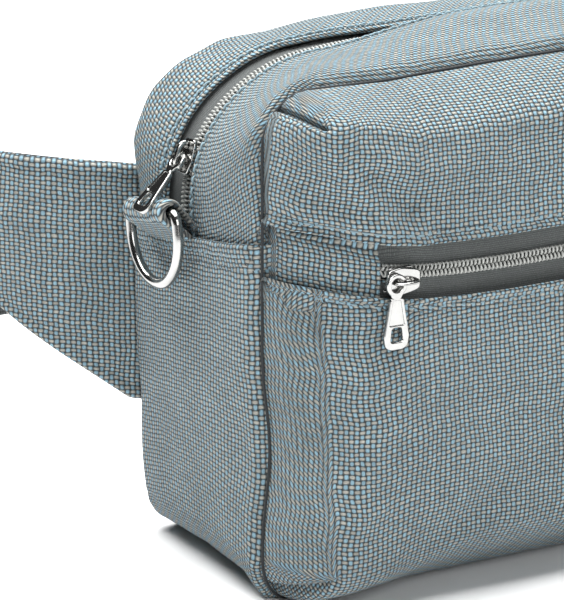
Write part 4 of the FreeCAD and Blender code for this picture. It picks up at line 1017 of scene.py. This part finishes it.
def tabs():
    """Folded cloth loops that hold the rings."""
    bar = np.array([-(HALF + 7.0), 7.5, 99.0])
    radius, hem = RING_WIRE + 0.75, 1.2
    section = tab_section(radius)
    shares = np.concatenate([[-1, -0.985, -0.95], np.linspace(-0.88, 0.88, 17), [0.95, 0.985, 1]])
    across = shares * TAB_WIDE / 2
    into_hem = np.clip(np.abs(across) - (TAB_WIDE / 2 - hem), 0, hem) / hem
    edge = 0.5 * (1 - np.sqrt(np.clip(1 - into_hem ** 2, 0, 1)))
    dents = 0.05 * creases(across[None, :], np.arange(len(section))[:, None] * 1.0, 3.0)
    swell = 1 - (edge[None, :] / radius) + dents
    local_x, local_z = section[:, 0:1] * swell, section[:, 1:2] * swell
    local_y = np.broadcast_to(across[None, :], local_x.shape)
    y = local_y * math.cos(TAB_TILT) + local_z * math.sin(TAB_TILT)
    z = -local_y * math.sin(TAB_TILT) + local_z * math.cos(TAB_TILT)
    for side, word in ((1, "left"), (-1, "right")):
        points = np.stack([(bar[0] + local_x) * side, bar[1] + y, bar[2] + z], axis=-1)
        shape = Shape()
        shape.grid(points, np.stack([local_y, measured(points)], axis=-1), flip=side > 0)
        thicken(piece_of("tab_" + word, shape, "outer_fabric", "bag", "ring_tab_" + word), 1.3, 1.0)


# ---------------------------------------------------------------- wings, belt and back

def wing_plan():
    """Plan of the left wing's middle line: points, headings and distances, as the CAD wing runs."""
    tucked = 4.5                                # length of the wing's root inside the seam
    straight, tail = 8.0 + tucked, 22.0

    def ahead(angle):
        return np.array([-math.cos(angle), math.sin(angle)])

    def heading_at(distance):
        return WING_START + np.clip((distance - straight) / WING_BEND, 0, WING_END - WING_START)

    bend_end = straight + WING_BEND * (WING_END - WING_START)
    distances = spaced((0, straight, 1.4), (straight, bend_end, 1.2), (bend_end, bend_end + tail, 1.4))
    points = [np.array([-HALF - 0.7, SEAM + 2.2]) - ahead(WING_START) * tucked]
    headings = [WING_START]
    for before, after in zip(distances[:-1], distances[1:]):
        points.append(points[-1] + ahead(heading_at((before + after) / 2)) * (after - before))
        headings.append(heading_at(after))
    return np.array(points), np.array(headings), distances


# both layers of a wing: start of the piece's name, share of the crown, finish and start of the node's name
WING_LAYERS = (("wing_shell_", 1, "outer_fabric", "wing_"), ("wing_backing_", -0.62, "mesh", "wing_mesh_"))


def wings():
    """Padded wings: crowned outer fabric with a rounded hem, and a spacer mesh behind."""
    plan, heading, distance = wing_plan()
    low, high = WING_LOW[2], WING_HIGH[2]
    run = distance / distance[-1]
    low_edge = low + (high - WING_END_HIGH - low) * np.clip(run - 0.06, 0, 1) / 0.94
    shares = spaced((0, 0.06, 0.012), (0.06, 0.94, 0.88 / 39), (0.94, 1, 0.012))
    height = low_edge[:, None] + (high - low_edge)[:, None] * shares[None, :]
    rise = 2.9 * np.sin(math.pi * np.clip(0.85 * run, 0, 1))[:, None]
    from_hem = np.minimum(height - low_edge[:, None], high - height)
    stitch = 0.55 * np.exp(-((from_hem - 4.2) / 0.8) ** 2)
    crown = 1.9 * np.sqrt(np.clip(1 - (1 - np.clip(from_hem / 2.6, 0, 1)) ** 2, 0, 1)) - stitch
    crown = crown + 1.1 * smooth((from_hem - 4) / 16) + 0.35 * creases(distance[:, None], height, 9.0)
    out = np.stack([-np.sin(heading), -np.cos(heading)], axis=-1)
    for side, word in ((1, "left"), (-1, "right")):
        for part, share, finish, node in WING_LAYERS:
            offset = crown * share
            x = plan[:, 0:1] + out[:, 0:1] * offset
            y = plan[:, 1:2] + out[:, 1:2] * offset
            shape = Shape()
            shape.grid(np.stack([x * side, y, height + rise], axis=-1), paired(distance[:, None], height),
                       flip=(side > 0) != (share > 0))
            wing = piece_of(part + word, shape, finish, "bag", node + word)
            thicken(wing, 0.8)


def belt_run():
    """Left webbing's route as the CAD runs: places, headings and lower edges to the buckle."""
    plan, _, _ = wing_plan()
    end = plan[-1]
    turn = math.pi - WING_END
    radius = (BELT_STRAIGHT_X - end[0]) / math.sin(turn)
    top, floor = WING_HIGH[2] - 1 - WEBBING_WIDE, BELT_LOW[2]
    places, headings, lows = [], [], []
    # negative shares are the straight end sewn to the wing
    for share in spaced((-0.06, 0, 0.02), (0, 1, 1 / 90)):
        angle = turn * (1 - max(share, 0))
        x = end[0] + radius * (math.sin(turn) - math.sin(angle)) + min(share, 0) * -90
        y = end[1] + radius * (math.cos(angle) - math.cos(turn)) + min(share, 0) * 160
        places.append((x, y))
        headings.append(angle)
        lows.append(top + (floor - top) * float(smooth(1.45 * max(share, 0))))
    last_y = places[-1][1]
    for x in spaced((BELT_STRAIGHT_X, BUCKLE_LOW[0] + 3, 1.6))[1:]:
        places.append((x, last_y))
        headings.append(0.0)
        lows.append(floor)
    return np.array(places), np.array(headings), np.array(lows)


def webbing():
    """Belt webbing on edge, with rounded selvedges."""
    places, headings, lows = belt_run()
    out = np.stack([-np.sin(headings), np.cos(headings)], axis=-1)
    angle = np.linspace(0, 2 * math.pi, 28, endpoint=False)
    across = np.sign(np.sin(angle)) * (WEBBING_WIDE / 2 - WEBBING_HALF) + WEBBING_HALF * np.sin(angle)
    around = WEBBING_HALF * np.cos(angle)
    across[[0, 14]] = 0.0                       # the middles of both faces
    for side, word in ((1, "left"), (-1, "right")):
        ring = np.stack([(places[:, 0:1] + out[:, 0:1] * around[None, :]) * side,
                         places[:, 1:2] + out[:, 1:2] * around[None, :],
                         lows[:, None] + WEBBING_WIDE / 2 + across[None, :]], axis=-1)
        shape = Shape()
        shape.loft(ring, flip=side < 0)
        shape.flat = [paired(across[None, :], run_along(places)[:, None]).reshape(-1, 2)]
        belt = piece_of("belt_" + word, shape, "webbing", "bag", "webbing_" + word)
        if side < 0:
            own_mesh(belt)


def buckle():
    """Buckle parts and strap keeper keep the CAD shape and get the moulded finish."""
    refinish("buckle_plastic", "buckle_socket", "buckle_prongs", "strap_keeper")


def back():
    """Padded back panel in spacer mesh, crowned between its seams, and the wall behind the pocket."""
    inset = 6.4
    half = spaced((0, 0.96, 0.02), (0.96, 1, 0.005))
    shares = np.concatenate([-half[::-1], half[1:]])
    z = spaced((inset, inset + 4, 0.6), (inset + 4, HEIGHT - inset - 8, 2.4),
               (HEIGHT - inset - 8, HEIGHT - inset, 0.6))[:, None]
    x = shares[None, :] * flank(z, inset, SEAM)
    z = np.broadcast_to(z, x.shape)
    inside = from_edge(x, z, inset, SEAM)
    channels = 0.9 * np.exp(-((np.abs(x) - 42) / 2.2) ** 2) * smooth(inside / 12)
    crown = 3.4 * (1 - np.exp(-inside / 5.0)) - channels + 0.3 * creases(x, z, 14.0) * smooth(inside / 9)
    points = warp(x, SEAM - 0.6 + crown, z)
    flat = np.stack([x, z], axis=-1)
    shape = Shape()
    shape.grid(points, flat, flip=True)
    panel = thicken(piece_of("back_pad", shape, "mesh", "bag", "back_panel"), 1.2)
    shape = Shape()
    shape.grid(warp(x * 0.97, 0 * x - SEAM + 3.2, z), flat)
    thicken(piece_of("pocket_wall", shape, "lining", "bag", "pocket_divider"), 0.8)


def lining_bag():
    """Lining of the main compartment, a closed loop inside the gusset."""
    y = spaced((-SEAM + 2.2, SEAM - 1.0, 4.0))
    bottom = np.array([0 * y + at for at in spaced((-2, -1, 0.12), (-1, 1, 0.1), (1, 2, 0.12))])
    to_seam = side_station(side_seam(y), y) - 2
    side = np.array([2 + to_seam * share for share in spaced((0, 1, 0.1))[1:-1]])
    loop = np.concatenate([bottom, side, -strip_stations(y, 0.0), -side[::-1]], axis=0)
    points = gusset(loop, np.broadcast_to(y, loop.shape), -4.2 + 0 * loop)
    shape = Shape()
    shape.grid(points, paired(y[None, :], np.arange(len(loop))[:, None] * 6.0))
    thicken(piece_of("lining_bag", shape, "lining", "bag", "main_lining"), 0.5)


def seam_tapes():
    """Bindings over the raw seam edges. The front one also has a thin dark cord lying in the crease, put
    there as painted shade that darkens the crease.
    """
    stations = spaced((-4.98, -1, 0.06), (-1, 1, 0.08), (1, 4.98, 0.06))
    angle = np.linspace(0, 2 * math.pi, 10, endpoint=False)
    for side, word in ((-1, "front"), (1, "back")):
        x, z, nx, nz = rim(stations, side * SEAM)
        centre = warp(x - nx * 6.2, 0 * x + side * (SEAM - 3.4), z - nz * 6.2)
        normal = np.stack([nx, 0 * nx, nz], axis=-1)
        ring = (np.cos(angle)[None, :, None] * 1.6 * normal[:, None, :]
                + np.sin(angle)[None, :, None] * np.array([0, 0.7, 0])[None, None, :])
        rings = centre[:, None, :] + ring
        shape = Shape()
        flat = paired(angle[None, :] * 1.5, np.arange(len(rings))[:, None] * 3.0)
        shape.grid(rings, flat, wrap=True, flip=True)
        if side < 0:
            # painted shade: a thin cord in the dark binding cloth, laid in the front seam's crease to darken
            # it
            crease = warp(x - nx * 3.0, 0 * x - SEAM + 0.1, z - nz * 3.0)
            shape.tube(crease, 0.45, sides=6, up=(0, 1, 0))
        piece_of("seam_tape_" + word, shape, "binding", "bag", word + "_seam_binding")


# ---------------------------------------------------------------- stage

def stage():
    """Pale floor, soft studio light from above and the camera at the photograph's angle."""
    floor = Nodes("floor")
    grain = floor.noise(floor.node("ShaderNodeTexCoord").outputs["Object"], 40.0)
    floor.finish(floor.mix(grain, (0.86, 0.86, 0.86, 1), (0.9, 0.9, 0.9, 1)), 0.8)
    bpy.ops.mesh.primitive_plane_add(size=12, location=(0, 0, -0.0002))
    plane = bpy.context.object
    plane.name = "studio_floor"
    plane.data.materials.append(floor.material)

    world = bpy.data.worlds.new("studio")
    world.use_nodes = True
    sky = world.node_tree
    upwards = sky.nodes.new("ShaderNodeSeparateXYZ")
    sky.links.new(sky.nodes.new("ShaderNodeTexCoord").outputs["Generated"], upwards.inputs[0])
    ramp = sky.nodes.new("ShaderNodeMapRange")
    for key, value in enumerate((-0.1, 0.9, 0.42, 0.9), start=1):
        ramp.inputs[key].default_value = value
    sky.links.new(upwards.outputs[2], ramp.inputs[0])
    sky.links.new(ramp.outputs[0], sky.nodes["Background"].inputs["Strength"])
    bpy.context.scene.world = world

    lights = (("overhead", (-0.1, 0.3, 1.7), 2.0, 116.0), ("front", (-0.3, -1.5, 0.75), 0.9, 12.0))
    for name, place, width, power in lights:
        lamp = bpy.data.lights.new(name, "AREA")
        lamp.size, lamp.energy = width, power
        item = bpy.data.objects.new(name, lamp)
        item.location = place
        towards_bag = Vector((-0.08, 0.0, 0.07)) - item.location
        item.rotation_euler = towards_bag.to_track_quat("-Z", "Y").to_euler()
        bpy.context.collection.objects.link(item)

    azimuth, elevation, distance = math.radians(-30), math.radians(16), 0.83
    target = Vector((-0.1095, -0.031, 0.0815))
    away = Vector((math.sin(azimuth) * math.cos(elevation), -math.cos(azimuth) * math.cos(elevation),
                   math.sin(elevation)))
    lens = bpy.data.cameras.new("camera")
    lens.lens = 192.0
    lens.sensor_width = 36.0
    lens.sensor_fit = "AUTO"
    camera = bpy.data.objects.new("camera", lens)
    camera.location = target + away * distance
    camera.rotation_euler = (-away).to_track_quat("-Z", "Y").to_euler()
    bpy.context.collection.objects.link(camera)
    bpy.context.scene.camera = camera
    bpy.context.scene.view_settings.view_transform = "Standard"


lower_gusset()
zip_strips()
panel_stitches()
seam_stitches()
front_panels()
zip_ends()
main_zip()
pocket_zip()
metal()
tabs()
wings()
webbing()
buckle()
back()
lining_bag()
seam_tapes()
stage()
